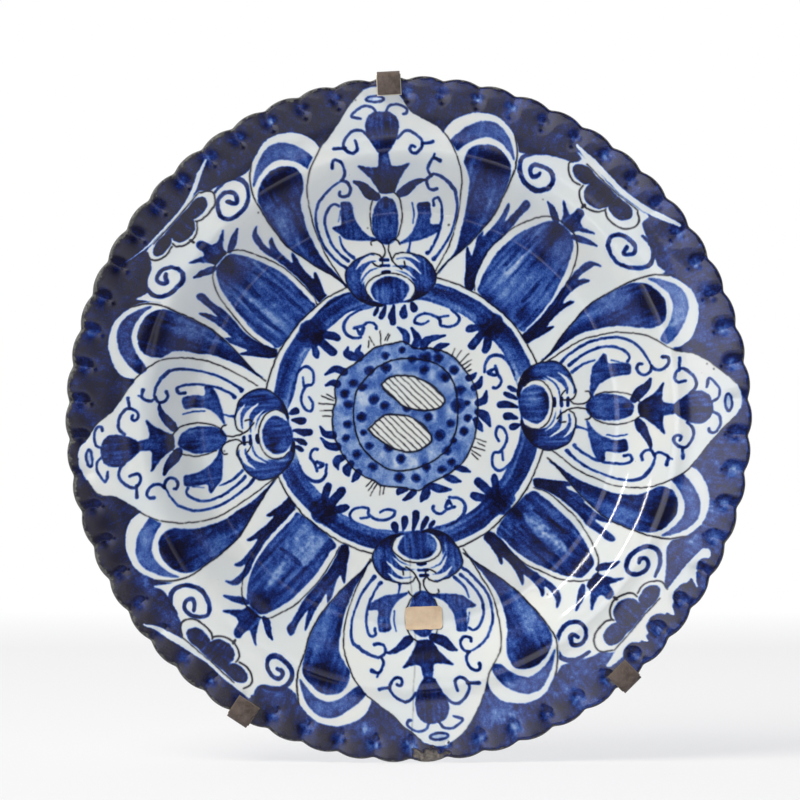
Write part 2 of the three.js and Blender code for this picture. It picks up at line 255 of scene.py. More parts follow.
def thinned(panel, points, share):
    """Takes off a share of the paint inside an outline, as where a brush ran nearly dry."""
    window, x, z, cover = cover_of_shape(panel, points)
    cobalt[window] *= 1 - share * blurred(cover, 0.6) * (1 + 0.3 * cloud(x, z, 1.4, 10))


def spot(u, v, centre, radii):
    """1 at a centre, falling softly to 0."""
    away = ((u - centre[0]) / radii[0]) ** 2 + ((v - centre[1]) / radii[1]) ** 2
    return np.exp(-away)


def toned(*spots):
    """A shade for a fill, of spots: their place, their reach across and along, and how much darker."""
    def shade(u, v):
        return sum(
            amount * spot(u, v, (at, height), (wide, tall)) for at, height, wide, tall, amount in spots)

    return shade


def ellipse(centre, radii, count=16, start=0.0, end=360.0):
    """Points round an ellipse, or along a part of it."""
    a = np.radians(np.linspace(start, end, count, endpoint=end - start < 360))
    if end - start >= 360:
        a = a[:-1]
    across, up = radii[0] * np.cos(a), radii[1] * np.sin(a)
    return [(centre[0] + p, centre[1] + q) for p, q in zip(across, up)]


WHOLE = Panel(90)  # for what is drawn straight in x and z


def lobes_round(degrees):
    """How many lobes an angle lies past the first notch."""
    return (degrees - NOTCH_ANGLE) * LOBES / 360


def ring_spot(radius, middle, reach):
    """1 on a circle, falling softly to 0 on both sides of it."""
    return np.exp(-(((radius - middle) / reach) ** 2))


# Border round the rim

BORDER_START = 139  # its inner edge
LOBE_RADIUS = 168  # where distances from the notches are measured


def ground():
    """The dark wash of the border, mottled: darker towards the upper left as painted shade, paler in the
    dimples between the lobes as thinner paint and painted highlight, and darker just inward of each dimple as
    pooled paint and painted shade.
    """
    x, z = whole_sheet()
    radius = np.hypot(x, z)
    angle = np.degrees(np.arctan2(z, x))
    turn = lobes_round(angle)
    lobe = np.floor(turn + 0.5)
    from_notch = (turn - lobe) * 2 * np.pi * LOBE_RADIUS / LOBES
    chance = np.random.default_rng(21).uniform(0.25, 1, LOBES + 1)[(lobe % LOBES).astype(int)]
    # Painted shade: darker towards the upper left and lighter towards the lower right.
    depth = 1.08 + 0.2 * np.cos(np.radians(angle - 140))
    depth += 0.09 * cloud(x, z, 2.2, 11) + 0.09 * cloud(x, z, 9, 12) + 0.06 * cloud(x, z, 0.8, 13)
    depth += 0.06 * cloud(angle * 3, radius, 1.1, 17, 12)
    # Paler in the dimples, less so at the left and most towards the upper left: thinner paint and painted
    # highlight.
    hollow = np.exp(-((radius - 165.4) ** 2 + from_notch**2) / 2.9**2)
    hollow *= 1 - 0.65 * np.exp(-(((angle % 360 - 187) / 32) ** 2))
    # Darker just inward of each dimple: pooled paint and painted shade.
    depth += 0.1 * np.exp(-(((radius - 161.2) / 1.5) ** 2) - (from_notch / 3.4) ** 2)
    paler = 0.5 + 0.24 * np.maximum(np.cos(np.radians(angle - 110)), 0)
    depth -= chance * hollow * (paler + 0.18 * cloud(x, z, 1.6, 14))
    ridge = np.exp(-(((radius - 167) / 5.5) ** 2) - ((np.abs(from_notch) - 9.2) / 4) ** 2)
    depth += 0.3 * ridge * np.clip(0.6 - np.cos(np.radians(angle - 80)), 0, 1)
    depth -= 0.22 * ring_spot(radius, 157, 4) * np.clip(cloud(x, z, 7, 15), 0, 1)
    start = BORDER_START + 1.2 * cloud(x, z, 12, 16)
    cover = np.clip((radius - start) / 0.8, 0, 1)
    cobalt[:] = np.clip(depth, 0.1, 1.6) * cover


# Cartouche: the pointed white field with bud, scrolls and collar

FIELDS = {
    "right": [
        (-2, 168.2), (3, 166), (7, 162.5), (11, 158), (16, 153), (24, 146.5), (30, 140.5), (34.5, 133.5),
        (38, 126), (42, 118), (42.5, 108), (40, 98), (34, 86), (24, 74), (0, 66), (-24, 74), (-36, 84),
        (-41, 94), (-43, 106), (-41.5, 116), (-38, 124), (-34, 130), (-29.5, 136.5), (-27.5, 145), (-25, 151),
        (-22, 155.5), (-17, 161), (-13, 165), (-8, 167.5)],
    "top": [
        (-4, 168.6), (3, 167), (8, 164), (11, 160), (14, 155), (20, 151), (26, 147), (30, 141.5), (34, 136),
        (38, 128), (40.5, 118), (38, 105), (34, 92), (26, 78), (0, 68), (-26, 74), (-38, 88), (-42, 100),
        (-46, 112), (-43, 122), (-40, 132), (-36, 138), (-32, 142.5), (-24, 151), (-18, 159), (-14, 163.5),
        (-10, 167)],
    "left": [
        (-3, 168), (3, 167), (7, 163), (14, 157), (17, 153), (20, 148), (24, 144.5), (30, 139.5), (35.5, 133),
        (42, 124), (47, 114), (43, 102), (38, 92), (28, 80), (0, 70), (-24, 78), (-38, 92), (-43, 104),
        (-44, 116), (-41, 127), (-37, 133.5), (-33, 138.5), (-29, 144), (-25, 149), (-23, 153), (-22.5, 158),
        (-20, 161), (-14, 164.5), (-8, 167)],
    "bottom": [
        (-3, 166), (4, 163.5), (8, 159.5), (14, 155), (19, 149), (25, 144), (29, 140), (34, 134), (39, 126),
        (44, 115), (42, 103), (38, 92), (28, 78), (0, 66), (-24, 74), (-36, 88), (-41, 100), (-42, 112),
        (-38, 121), (-33, 128), (-30, 134), (-28.5, 139.5), (-27, 143), (-24, 149), (-20, 155), (-15, 160.5),
        (-9, 164)],
}

# Thin outline on both sides of each field, from the tip down to the collar
FIELD_LINES = {
    "right": ([(-12, 165.5), (-17, 161), (-22, 155), (-25, 151), (-27.3, 145), (-29.3, 137), (-31, 133),
               (-35, 127), (-38, 121), (-39.5, 113), (-40, 106), (-39, 100), (-37, 92), (-32, 81), (-26, 70)],
              [(5, 164.5), (11, 158), (17, 152.3), (24, 146.5), (31, 139.5), (34.5, 133.5), (37.5, 127),
               (39.2, 120), (39, 112), (37.5, 102), (34.5, 95), (32, 90), (27, 82), (19.5, 73)]),
    "top": ([(-10, 167), (-14, 163.5), (-18, 159), (-24, 151), (-32, 142.5), (-35, 138), (-39.5, 130),
             (-41.8, 121), (-41.8, 112), (-40.5, 103), (-38, 94), (-34, 84), (-26, 69)],
            [(11, 160), (14, 155), (20, 151), (26, 146.8), (31, 141), (34, 135), (36, 127), (36.7, 120),
             (36, 112), (34.5, 105), (31.5, 96), (27, 85), (18, 72)]),
    "left": ([(-14, 164.5), (-20, 161), (-22.5, 157), (-23, 153), (-25.5, 148.5), (-33, 139), (-37, 133),
              (-39.5, 125), (-40.8, 116), (-40.3, 106), (-38, 97), (-33, 88), (-23, 72)],
             [(7, 163), (14, 157), (19, 149.5), (24, 144.5), (30, 139.5), (35.5, 134.5), (40, 128),
              (43, 121), (43.3, 114), (42, 106), (38.5, 97), (34, 88), (24.5, 75)]),
    "bottom": ([(-10, 164), (-15, 160.5), (-20, 155), (-24, 149), (-27.5, 142), (-29.5, 136.5), (-31, 131),
                (-35.5, 124), (-38.3, 117), (-38.5, 108), (-37.5, 100), (-35, 91), (-30, 81), (-23, 68)],
               [(6, 162), (10, 158), (14.5, 154.5), (19, 149), (25, 144), (29, 140), (32.5, 136.5), (37, 130),
                (40, 122.5), (41.7, 114), (41, 105), (38, 95), (33, 84), (25, 70)]),
}

# The motif is drawn once. For each copy: drawn height, painted height and shift to the right.
CARTOUCHES = {
    "right": Panel(2.2),
    "top": Panel(
        94.7,
        rows=(
            (40, 43.5, 1.5), (64.5, 66.5, 1), (92, 90.8, -1.2), (115.5, 114, -1.6), (118.5, 116.3, -1.8),
            (134, 134.5, -1.5), (153, 155.5, -0.8), (161.5, 162, -1.7), (170, 170, -1.5))
    ),
    "left": Panel(
        186,
        rows=(
            (40, 44, 3.5), (64.5, 68, 4), (92, 95, 2.8), (115.5, 118.3, 1.8), (118.5, 121.2, 1),
            (134, 136.5, 0.4), (153, 156, -0.3), (161.5, 162.3, -0.3), (170, 170, 0))
    ),
    "bottom": Panel(
        274.3,
        rows=(
            (40, 41.5, 5), (64.5, 65.3, 5.6), (92, 89.2, 2.5), (115.5, 111.7, 2), (118.5, 113.8, 0.2),
            (134, 130.8, 0), (153, 153.5, -0.5), (161.5, 160.6, -0.8), (170, 170, 0))
    ),
}


def tip_ring(panel):
    fill(panel, ellipse((-2.3, 161.3), (4.4, 1.9)), 0.25, pooled=0)
    for start, end in ((200, 380), (10, 205)):
        stroke(panel, ellipse((-2.3, 161.4), (4.4, 1.8), 10, start, end), 1.15, 0.85)


def upper_scrolls(panel):
    strokes(
        panel, 1.25, 0.85,
        [
            (-2.8, 153), (-5, 156.5), (-9, 157.3), (-13, 155), (-15.3, 152.6), (-13.6, 151.6, 1.3),
            (-10.6, 150.8, 0.8)],
        [
            (2, 153), (4, 156.6), (8, 157.4), (11.3, 155.6), (12.8, 153.6), (12.2, 151.8, 1.3),
            (10.6, 151.5, 1.1)]
    )


def bud(panel):
    fill(panel, [
        (0, 153.6), (4.2, 152.6), (7.2, 149.4), (7.8, 145.6), (6.8, 141.4), (4.6, 137.6), (2.2, 134.8),
        (0, 134), (-2.4, 134.8), (-5, 138), (-7.4, 142), (-8.7, 145.8), (-8, 149.6), (-5.6, 152.4)
    ], 0.98, shade=toned((-4.5, 149, 2, 4, -0.2), (1, 139, 3.5, 7, 0.18)))
    fill(panel, [
        (-1.9, 134.8), (2.1, 134.8), (2.8, 131.8), (3.6, 129.2), (7.4, 128.6), (12.6, 129.4), (9.6, 126.4),
        (6.8, 122.8), (4.4, 119.4), (3, 117.4), (-3, 117.4), (-4.8, 119.8), (-7.2, 123.4), (-10.4, 126.8),
        (-13.6, 129.8), (-8, 128.9), (-3.8, 128.8), (-2.7, 131.6)
    ], 0.98, shade=toned((0, 119, 8, 5, 0.35), (0.5, 132, 4, 3, -0.18)))


def base_leaves(panel):
    stroke(
        panel, [(-15.8, 123.4, 0.3), (-12.4, 121.6, 0.85), (-9, 118.2, 1.2), (-5.8, 115.6, 0.9)], 4.3, 1.05)
    stroke(
        panel, [(6.2, 116.4, 0.9), (9, 117.8, 1.15), (12.5, 120, 0.9), (16.3, 121.9, 0.6), (20, 122.2, 0.25)],
        4.2, 1.05)


def middle_scrolls(panel):
    strokes(panel, 1.45, 0.88,
            [(-7.4, 142.4), (-10, 145), (-13.5, 145.8), (-17, 144.2), (-20, 140.6), (-20, 138), (-18, 136),
             (-15.5, 135.4), (-13.5, 136.8), (-13.7, 139), (-14.2, 140.6)],
            [(-25.2, 138.2, 1.3), (-22, 138), (-19.3, 137.8)],
            [(7, 140.6), (10, 143.1), (13, 143.6), (17, 141.8), (19.7, 138.8), (19.2, 135.8), (17, 133.6),
             (14.5, 133.6), (13.3, 135.2), (14.4, 136.8), (16, 136.2)],
            [(20, 137.5), (22.5, 137.5), (24.8, 137.7, 1.3)])


def hooks(panel):
    strokes(
        panel, 1.45, 0.9,
        [
            (-26.5, 129.8, 1.3), (-26.2, 132.2), (-24.3, 132.9), (-21.6, 131.6), (-20.3, 129), (-20.4, 126.6),
            (-21.7, 124.7)],
        [
            (-22.4, 124.4), (-19.6, 123.6), (-18, 120.9), (-19.3, 118.2), (-21.8, 117.3), (-23.6, 118.2),
            (-23.6, 119.8)],
        [(28.2, 129.5, 1.4), (25, 130.6), (23, 129), (21.9, 126.2), (23.2, 123.7)]
    )
    stroke(panel, [(25.6, 132.4, 0.7), (24.6, 130.6)], 1.2, 0.9)
    stroke(panel, [(23.8, 123.9), (20.8, 122.3), (20.9, 119.3), (23, 117.5), (25.4, 117.8, 1.2)], 1.45, 0.9)


def long_lines(panel):
    stroke(panel, [
        (-22, 124.4, 0.6), (-28, 121.6, 0.8), (-33.5, 117), (-36.8, 111), (-37.5, 104), (-36, 96), (-33, 89),
        (-29, 82.4), (-25.6, 79, 1.3)], 1.35, 0.8)
    stroke(panel, [
        (-25.2, 112.6, 1.2), (-27.2, 113.6, 0.8), (-30, 112), (-32.7, 107), (-33, 101), (-31, 94),
        (-27.5, 87.5), (-24, 83, 1.4)], 1.35, 0.78)
    stroke(panel, [(-24.7, 110.3, 0.5), (-26.2, 104.5, 0.6)], 1.2, 0.6)
    stroke(panel, [(-26.3, 96.5, 0.6), (-24.6, 90), (-20.6, 84.2, 1.4)], 1.3, 0.75)
    strokes(
        panel, 1.35, 0.82,
        [
            (24.5, 124.3), (29, 122.4, 1.2), (33.5, 118.5, 1.5), (35.3, 113, 1.2), (34.8, 106, 0.9),
            (32, 98, 0.8), (28.5, 91, 0.9), (23, 83.6), (19.7, 80.3, 1.7)],
        [
            (23, 109.2, 1.2), (23, 112), (25.8, 112.6), (27.1, 108), (26.3, 101), (23.5, 93), (19, 86),
            (17, 84.2, 1.6)]
    )
    stroke(panel, [(12.4, 111.4, 0.5), (13, 106, 0.7), (12.2, 100.5, 0.6)], 1.2, 0.7)
    stroke(panel, [(9.6, 92, 0.6), (8, 87.5, 0.8), (7.3, 85, 1.6)], 1.3, 0.75)


def petals(panel):
    fill(panel, [
        (-24, 113.5), (-21.5, 114.4), (-18.8, 113.8), (-18.3, 109.5), (-17.3, 104.3), (-14.5, 99.2),
        (-11, 96), (-7.2, 94.4), (-8.6, 93.3), (-16, 93.8), (-23, 95.2), (-26.3, 98), (-29.6, 100.9),
        (-28.4, 102.1), (-24.8, 102.7), (-24.6, 107)
    ], 0.78, shade=toned((-29, 101.3, 4, 2.2, 0.3), (-21.5, 112, 4, 4, 0.12)))
    fill(panel, [
        (14.8, 110), (17.6, 111.2), (20.8, 110.6), (21.4, 105.5), (20.6, 99.8), (25, 99), (24.6, 96),
        (20, 93.4), (14, 91.8), (8, 91.1), (3.8, 90.9), (8, 93.6), (11.4, 96.6), (13.8, 101), (15, 105.5)
    ], 0.72, shade=toned((18, 108.5, 4, 3.4, 0.42), (24, 98.5, 3, 2, 0.25)))


def oval_bud(panel):
    fill(panel, [
        (-1.3, 115.2), (2.4, 113.4), (4.4, 109), (4.8, 103), (3.8, 97), (1.5, 92.6), (-1.8, 90.8),
        (-5.2, 91.6), (-8, 95.2), (-9, 101), (-8.3, 107), (-5.8, 112.4), (-3.4, 114.8)
    ], 0.76, streaks=0.14, shade=toned((-2, 112.5, 4, 3, 0.3), (-2, 93, 5, 3, 0.2), (-6, 100, 2, 6, -0.16)))
    line(panel, [(-4.2, 118), (-7.4, 115), (-9.6, 109), (-9.8, 102), (-8.4, 96)])
    line(panel, [(2.8, 118.2), (5.8, 113.6), (7, 107.5), (6.3, 101.5), (4.2, 96), (1.8, 93)])


def stems(panel):
    line(
        panel, [(-10.8, 90.8), (-10.6, 92.8), (-8, 93.6), (-5.6, 92), (-4.3, 88.4), (-4.6, 85), (-7, 81.9)],
        0.65, 1)
    line(
        panel,
        [(4, 90.2), (3.2, 92.4), (1, 93.2), (-1.4, 91.6), (-2.4, 87.6), (-2, 83), (-0.4, 79), (2.8, 75.8)],
        0.65, 1)
    line(panel, [(-6.8, 82), (-6.6, 79.6), (-8.4, 78.2), (-10.6, 79.6), (-11.6, 80.8)], 0.65, 1)
    line(panel, [(4.6, 80.3), (4.6, 77.4), (3.4, 76.8)], 0.7, 1)
    stroke(panel, [(-7.2, 81.8), (-3.8, 81.6)], 1.6, 1.1)
    stroke(panel, [(-7.6, 78.5), (-3.6, 78.3)], 1.5, 1.0)


# The collar at the field's foot: its outline and the ring inside it
COLLAR = [
    (-7.4, 85.1), (-11.2, 86.1), (-15.3, 84.8), (-19.9, 83), (-23.7, 80), (-26.2, 76.4), (-26.6, 72.2),
    (-25.8, 67.2), (-23.4, 62.6), (-19.8, 59.2), (-14.8, 56.6), (-9.5, 56), (-5, 56.8), (3.4, 57.4),
    (8.8, 58.6), (13.6, 61.4), (17.2, 65.6), (18.8, 69.4), (18.9, 73), (17.4, 78), (14.7, 81.8), (10.4, 84),
    (5, 85.4), (1.2, 84.9), (-0.8, 82.2)]
COLLAR_RING = [
    (-14.4, 59.4), (-16.8, 62.8), (-17.1, 66.8), (-15.2, 70.2), (-11.4, 72.8), (-5.4, 74), (0.6, 72.9),
    (4.6, 70.6), (7.2, 67), (7.5, 63), (5.6, 59.4)]

# White streaks across the collar, each with its width
COLLAR_STREAKS = (
    ([(-8.4, 83, 1.2), (-12.6, 83.4, 1.3), (-17, 81.4, 0.8), (-20.6, 77.4, 0.15)], 2.2),
    ([(-7, 79.4, 1.4), (-11.6, 79.2, 1.3), (-15.6, 76.4, 0.8), (-19, 71.4, 0.15)], 2.3),
    ([(-5, 76.6, 1.1), (-10.4, 76.1, 1.2), (-14.8, 73.8, 0.9), (-18.4, 69.2, 0.15)], 1.6),
    ([(-0.6, 83.4, 1.1), (4, 84, 1.2), (8.8, 82.8, 0.8), (12.6, 79, 0.15)], 2.1),
    ([(-1, 79.6, 1.2), (4, 80, 1.4), (8.4, 77.6, 0.8), (12, 72, 0.15)], 2.4),
    ([(-5, 76.6, 1.1), (0.8, 76.2, 1.2), (5, 74.2, 0.9), (8.6, 69.6, 0.15)], 1.6),
)


def collar(panel):
    def cheek(u, v):
        dark = (0.8 + 0.2 * cloud(u, v, 1.5, 19)) * np.clip((66 - v) / 8, 0, 1)
        dark = dark + 0.35 * spot(u, v, (-20, 63), (3, 6))
        return dark + 0.5 * spot(u, v, (10.5, 61.5), (4, 6)) + 0.25 * spot(u, v, (18, 74), (2.4, 8))

    wipe(panel, COLLAR, lines_too=True)
    fill(
        panel,
        COLLAR[1:12] + [
            (-5, 59), (-10.5, 59.5), (-15, 62.5), (-17.2, 67), (-16.6, 71), (-13, 74.5), (-8, 76), (-4.5, 77),
            (-6.5, 78.6), (-9.5, 80.6), (-9.5, 84)],
        0.68, streaks=0.16, shade=cheek
    )
    fill(
        panel,
        [
            (-2, 58), (3.6, 60), (6.8, 63.5), (7.4, 67.5), (5.8, 71.5), (1.5, 74.6), (-3.5, 76.6), (-1, 78),
            (2, 79.5), (0.6, 82), (0.5, 84.2)] + COLLAR[:12:-1][1:],
        0.68, streaks=0.16, shade=cheek
    )
    for streak, width in COLLAR_STREAKS:
        wipe(panel, streak, width)
    wipe(panel, COLLAR_RING + [(0, 57.6), (-9, 57.2)])
    fill(panel, ellipse((-5.1, 64.2), (9.8, 7.8)), 0.78, streaks=0.16,
         shade=toned((-6.4, 70.6, 4.6, 2.4, 0.45), (-4, 67, 2, 4, 0.2), (-9.6, 63.4, 2.2, 4, -0.14)))
    line(panel, COLLAR_RING, 0.6, 0.9)
    stroke(panel, [(-7.4, 74.6), (-5.6, 74.9), (-3.9, 74.6)], 1.5, 1.3)
    line(panel, [(-6.6, 81.6), (-7.4, 84.6)] + COLLAR[1:12], 0.65, 0.9)
    line(panel, [(-1, 82.4), (0, 84)] + COLLAR[:12:-1][1:], 0.65, 0.9)


def drops(panel):
    strokes(
        panel, 3.3, 1.04, [(-11.8, 56, 0.3), (-13, 53.6, 0.75), (-14.2, 52, 0.5)],
        [(-8, 55.8, 0.35), (-9.8, 52, 0.9), (-10.8, 50, 0.7)],
        [(-3.8, 55.6, 0.4), (-5.2, 50.4, 1.1), (-5.2, 47, 1.05)],
        [(1.8, 55.4, 0.4), (0.8, 51.8, 1.1), (0.7, 50, 1.1)], [(5.2, 56.6, 0.4), (5.9, 54, 1.05), (6.2, 52.8)]
    )


def ring_scrolls(panel):
    stroke(panel, [
        (-20.5, 55, 0.6), (-26, 52.6, 0.8), (-30, 48.6, 1.2), (-30.4, 44, 1.2), (-27.5, 40.7, 1.1),
        (-22.6, 39.9, 0.9)], 1.45, 0.8)
    stroke(panel, [
        (-25.2, 45.3, 1.2), (-21.4, 46.2, 1.2), (-18.4, 48), (-15.6, 47.6), (-14, 45.6), (-14.2, 44.2, 1.3)
    ], 1.35, 0.82)
    stroke(panel, [(-24, 44.8, 0.6), (-22.4, 42, 1.4), (-20.6, 45, 1)], 1.6, 0.85)
    stroke(panel, [
        (13, 45.6, 0.8), (9.4, 44.2), (5.8, 45.6, 1.1), (7, 48.4), (11, 49.8, 0.9), (15, 48.8),
        (18.6, 46.2, 1.2), (19, 43), (22, 41.9), (26, 42.2), (28.4, 45, 1.2), (27.4, 48.2), (24.6, 51, 0.6)
    ], 1.35, 0.8)
    stroke(panel, [(18.8, 47.4), (23, 47.6, 0.8)], 1.3, 0.8)


def cartouche(name):
    """One whole cartouche: its white field, the lines beside it and all of its motif."""
    panel = CARTOUCHES[name]
    plain = Panel(np.degrees(panel.turn))
    wipe(plain, FIELDS[name])
    for side in FIELD_LINES[name]:
        line(plain, side, 0.6, 0.8)
    parts = (tip_ring, upper_scrolls, bud, base_leaves, middle_scrolls, hooks, long_lines, petals, oval_bud,
             collar, stems)
    for part in parts:
        part(panel)


# Curled arms beside the cartouches

# Each arm's direction, whether it is mirrored, and the painter's shifts
ARMS = (
    Panel(25, rows=((0, 0, -7), (200, 200, -7))),
    Panel(
        117,
        rows=((0, 0, -6), (75, 75, -6), (110, 110, -9.3), (135, 136, -10.5), (153, 154, -9), (200, 201, -9))),
    Panel(
        208,
        rows=((0, 0, -3), (75, 76, -4), (110, 110, -7.3), (135, 136, -10), (153, 153.5, -9), (200, 200, -9))),
    Panel(
        296, rows=((0, 0, -4), (75, 76, -5), (110, 110, -7), (135, 133, -10), (153, 151, -7), (200, 198, -6))
    ),
    Panel(
        71, True,
        rows=((0, 0, 0), (75, 76, 1.5), (110, 110, 0.6), (135, 137, -1.5), (153, 155, -1.5), (200, 201, -1))),
    Panel(
        341, True,
        rows=((0, 0, -7), (75, 76, -5.5), (110, 110, -7.5), (135, 136, -8), (153, 154, -7.5), (200, 200, -7))
    ),
    Panel(
        163, True,
        rows=((0, 0, -7), (75, 78, -6.5), (110, 110, -7.3), (135, 137, -10), (153, 153, -10), (200, 199, -10))
    ),
    Panel(
        252, True,
        rows=((0, 0, -4), (75, 76, -5), (110, 110, -5.3), (135, 138, -5.5), (153, 156, -5.5), (200, 201, -5))
    ),
)


ARM_DEPTHS = (0.78, 0.84, 0.88, 0.74, 0.8, 0.84, 0.86, 0.74)
CRESCENT_DEPTHS = (0.5, 0.66, 0.6, 0.72, 0.68, 0.72, 0.85, 0.7)


def arm(panel, number):
    wipe(panel, [
        (-9, 136), (-6, 146), (0, 152.5), (8, 156.7), (16, 156.6), (22.5, 154), (28.5, 149), (31.4, 143),
        (31, 137), (26, 130), (19, 122), (12, 112), (6, 118), (-6, 128)])
    wipe(panel, [
        (8, 73), (10.5, 80), (9, 95), (11, 108), (14, 118), (20, 128), (22, 136), (14, 142), (2, 144),
        (-8, 138), (-8, 118), (-6, 104), (0, 92), (5, 82)])
    body = [
        (8.4, 74), (7.2, 82), (5.8, 90), (5.5, 98), (6.4, 107), (8.3, 115), (11.8, 121.3), (15.6, 127.5),
        (17.6, 132.5), (16.8, 137.5), (12.6, 140.8), (6, 142.3), (-0.5, 140.2), (-5.5, 135.5), (-7.8, 129),
        (-7.8, 118), (-6, 106.5), (-2, 97), (2, 89), (6, 81)]
    head, edge, foot, pale = np.interp([137, 108, 82, 118], panel.rows[:, 0], panel.rows[:, 2])
    shade = toned(
        (5 + head, 136.5, 10, 6, 0.62), (4 + edge, 108, 3, 24, 0.22), (6 + foot, 82, 6, 9, 0.25),
        (-2 + pale, 118, 3, 12, -0.12))
    fill(panel, body, ARM_DEPTHS[number], streaks=0.13, grain=(1.6, 16), shade=shade)
    crescent = [
        (-6.4, 139), (-2.6, 146), (3.5, 151.6), (10, 153.6), (16.4, 151.6), (22.2, 146.6), (26.6, 139.8),
        (28, 134.6), (25.6, 132), (22.6, 134), (19.6, 138.6), (15.6, 142.6), (10.6, 145.4), (4.6, 145.4),
        (-1, 143)]
    fill(panel, crescent, CRESCENT_DEPTHS[number], grain=(2.5, 6), shade=toned((24 + head, 136, 5, 6, 0.2)))
    line(panel, [
        (9.6, 72.6), (6.6, 80), (2.2, 88.4), (-2, 96.6), (-6, 106.5), (-7.9, 117), (-8.4, 127), (-8, 136),
        (-6.4, 143.6), (-2.6, 151)], 0.75, 0.9)


# Diagonal panels: flower, spirals, crown, melon and leaf blades

# Each diagonal's direction and the painter's shifts
DIAGONALS = (
    Panel(
        48,
        rows=(
            (0, 0, 0), (62, 64, -2), (72, 71.5, -2.5), (95, 95, -5.5), (117, 121, -5), (124, 126, -5),
            (133, 133, -4.5), (138.7, 139.3, -5), (154.5, 155, -3.5), (200, 200, -3))
    ),
    Panel(
        138.4,
        rows=(
            (0, 0, 0), (62, 66.5, -0.8), (72, 74.5, -2), (95, 95, -2.5), (117, 120.5, -2), (124, 125.5, -2),
            (133, 133.5, -2.5), (138.7, 142, -4.5), (154.5, 154.5, -3.5), (200, 200, -3))
    ),
    Panel(
        229.3,
        rows=(
            (0, 0, 0), (62, 64.5, 1.5), (72, 72, 0), (95, 95, -0.5), (117, 121, -3.5), (124, 125.5, -4),
            (133, 135, -4), (138.7, 143.5, -5), (154.5, 157.5, -4), (200, 203, -3))
    ),
    Panel(318.6),
)

# White ground of each diagonal between the border and the arms
GROUNDS = (
    [
        (-27, 157.5), (-20, 157.8), (-5, 156.3), (10, 156), (21, 157.2), (21.2, 152.5), (26, 149.4),
        (33, 146.4), (42, 142), (47, 142), (42, 134), (37, 127), (33, 118), (28, 105), (27, 90), (30, 74),
        (31, 64), (0, 70), (-37, 63), (-38, 76), (-39, 90), (-40, 102), (-42, 114), (-46, 124), (-49, 130),
        (-52, 136), (-49, 137.5), (-44, 140.5), (-38, 145.5), (-31, 149.3), (-24.5, 152.5), (-23, 156)],
    [
        (-24, 155.7), (-15, 155.5), (0, 155), (15, 155.6), (19, 152.4), (25, 149.6), (32, 146.3), (40, 143.8),
        (46, 145), (40, 138), (34, 131), (30, 124), (26.5, 110), (24.5, 96), (27, 78), (29, 66), (0, 72),
        (-35, 65), (-34, 80), (-32.5, 96), (-33, 110), (-35, 122), (-38, 130), (-44, 139), (-46, 143),
        (-40, 141.5), (-35, 145.4), (-29, 148), (-26, 152)],
    [
        (-30, 158), (-15, 158), (0, 157.3), (14, 158.5), (19, 154), (24, 151.4), (31, 148), (38, 146.6),
        (43, 148), (37, 141), (33, 132), (30, 122), (28.5, 108), (26.5, 96), (28, 80), (31, 66), (0, 70),
        (-30, 65), (-31, 82), (-31, 98), (-33, 112), (-36, 121), (-40, 128), (-45, 138), (-48, 142),
        (-42, 142.5), (-37, 146), (-31, 150.5), (-30, 154)],
    [
        (-22, 155.5), (-10, 154.8), (5, 154.8), (19, 155.8), (24, 150.6), (29, 148.6), (36, 144), (42, 140.6),
        (47, 141), (42, 135), (37, 126), (33, 117), (29, 106), (26.5, 92), (28, 76), (29.5, 64), (0, 68),
        (-32, 62), (-31, 76), (-30, 92), (-30, 106), (-32, 116), (-35, 124), (-39, 132), (-43, 139.5),
        (-37, 141), (-31, 146), (-26, 149.4), (-21.5, 153)],
)

# White band between flower and lobes: along its middle, with its width
CHORDS = (
    [
        (-29, 159.6, 0.6), (-18, 158.6, 1.2), (-5, 158, 1.2), (8, 157.7, 1.2), (18, 158.8, 1.3),
        (27, 161, 1.2), (36, 163.8, 0.7)],
    [
        (-36, 159.4, 0.12), (-26, 157.2, 0.25), (-18, 156.6, 0.5), (-5, 155.8, 0.6), (6, 156, 0.8),
        (14, 157.6, 1.0), (22, 160.8, 1.0), (30, 163.2, 0.4)],
    [
        (-30, 158.8, 0.8), (-15, 158.6, 1.1), (0, 158.7, 1.1), (10, 159.6, 1.6), (20, 161.6, 1.5),
        (28, 163.3, 0.9), (34, 165.6, 0.4)],
    [
        (-48, 157, 2.4), (-38, 156.8, 2.6), (-26, 157.2, 2.4), (-10, 157.4, 2.0), (5, 157.4, 1.9),
        (16, 157.2, 1.5), (27, 157.5, 0.5)],
)


# Middles of the border's lobes that hang into the white band at the lower right, and their half widths
HANGING_LOBES = ((-43, 158.6, 4.6), (-25.5, 159.6, 6.6), (-5, 159.8, 6.4), (13.5, 160, 6), (29, 160.6, 4))


def hanging_lobes(panel):
    wipe(panel, [
        (-49, 156), (-40, 158), (-25, 161), (-10, 162.5), (5, 162), (18, 160.6), (27, 158.6), (18, 155.6),
        (0, 155.4), (-20, 155.2), (-40, 154.6)])
    wipe(panel, [(-37, 158, 0.9), (-34.6, 162, 0.5), (-33, 165, 0.2)], 4.2)
    wipe(panel, [(-15.6, 160, 1), (-14.8, 163, 0.7), (-14.4, 165.6, 0.2)], 4.6)
    wipe(panel, [(4.6, 160, 0.9), (4.4, 162.6, 0.6), (4.2, 164.4, 0.2)], 4.2)
    # Each lobe is paler towards its dimple: thinner paint and painted highlight.
    for u, v, half in HANGING_LOBES:
        fill(panel, ellipse((u, v + 3.6), (half, 5.2)), 1.08, pooled=0.1,
             shade=toned((u + 0.3 * half, v + 5, half * 0.6, 2.6, -0.5)))


# Centre and radii of each of the flower's washes
FLOWER_WASHES = (
    ((-13, 150.4), (6.5, 4.1)), ((0, 147.3), (7.4, 6.4)), ((12.6, 149.6), (6.6, 4.6)),
    ((0, 151.6), (14, 2.8)),
)


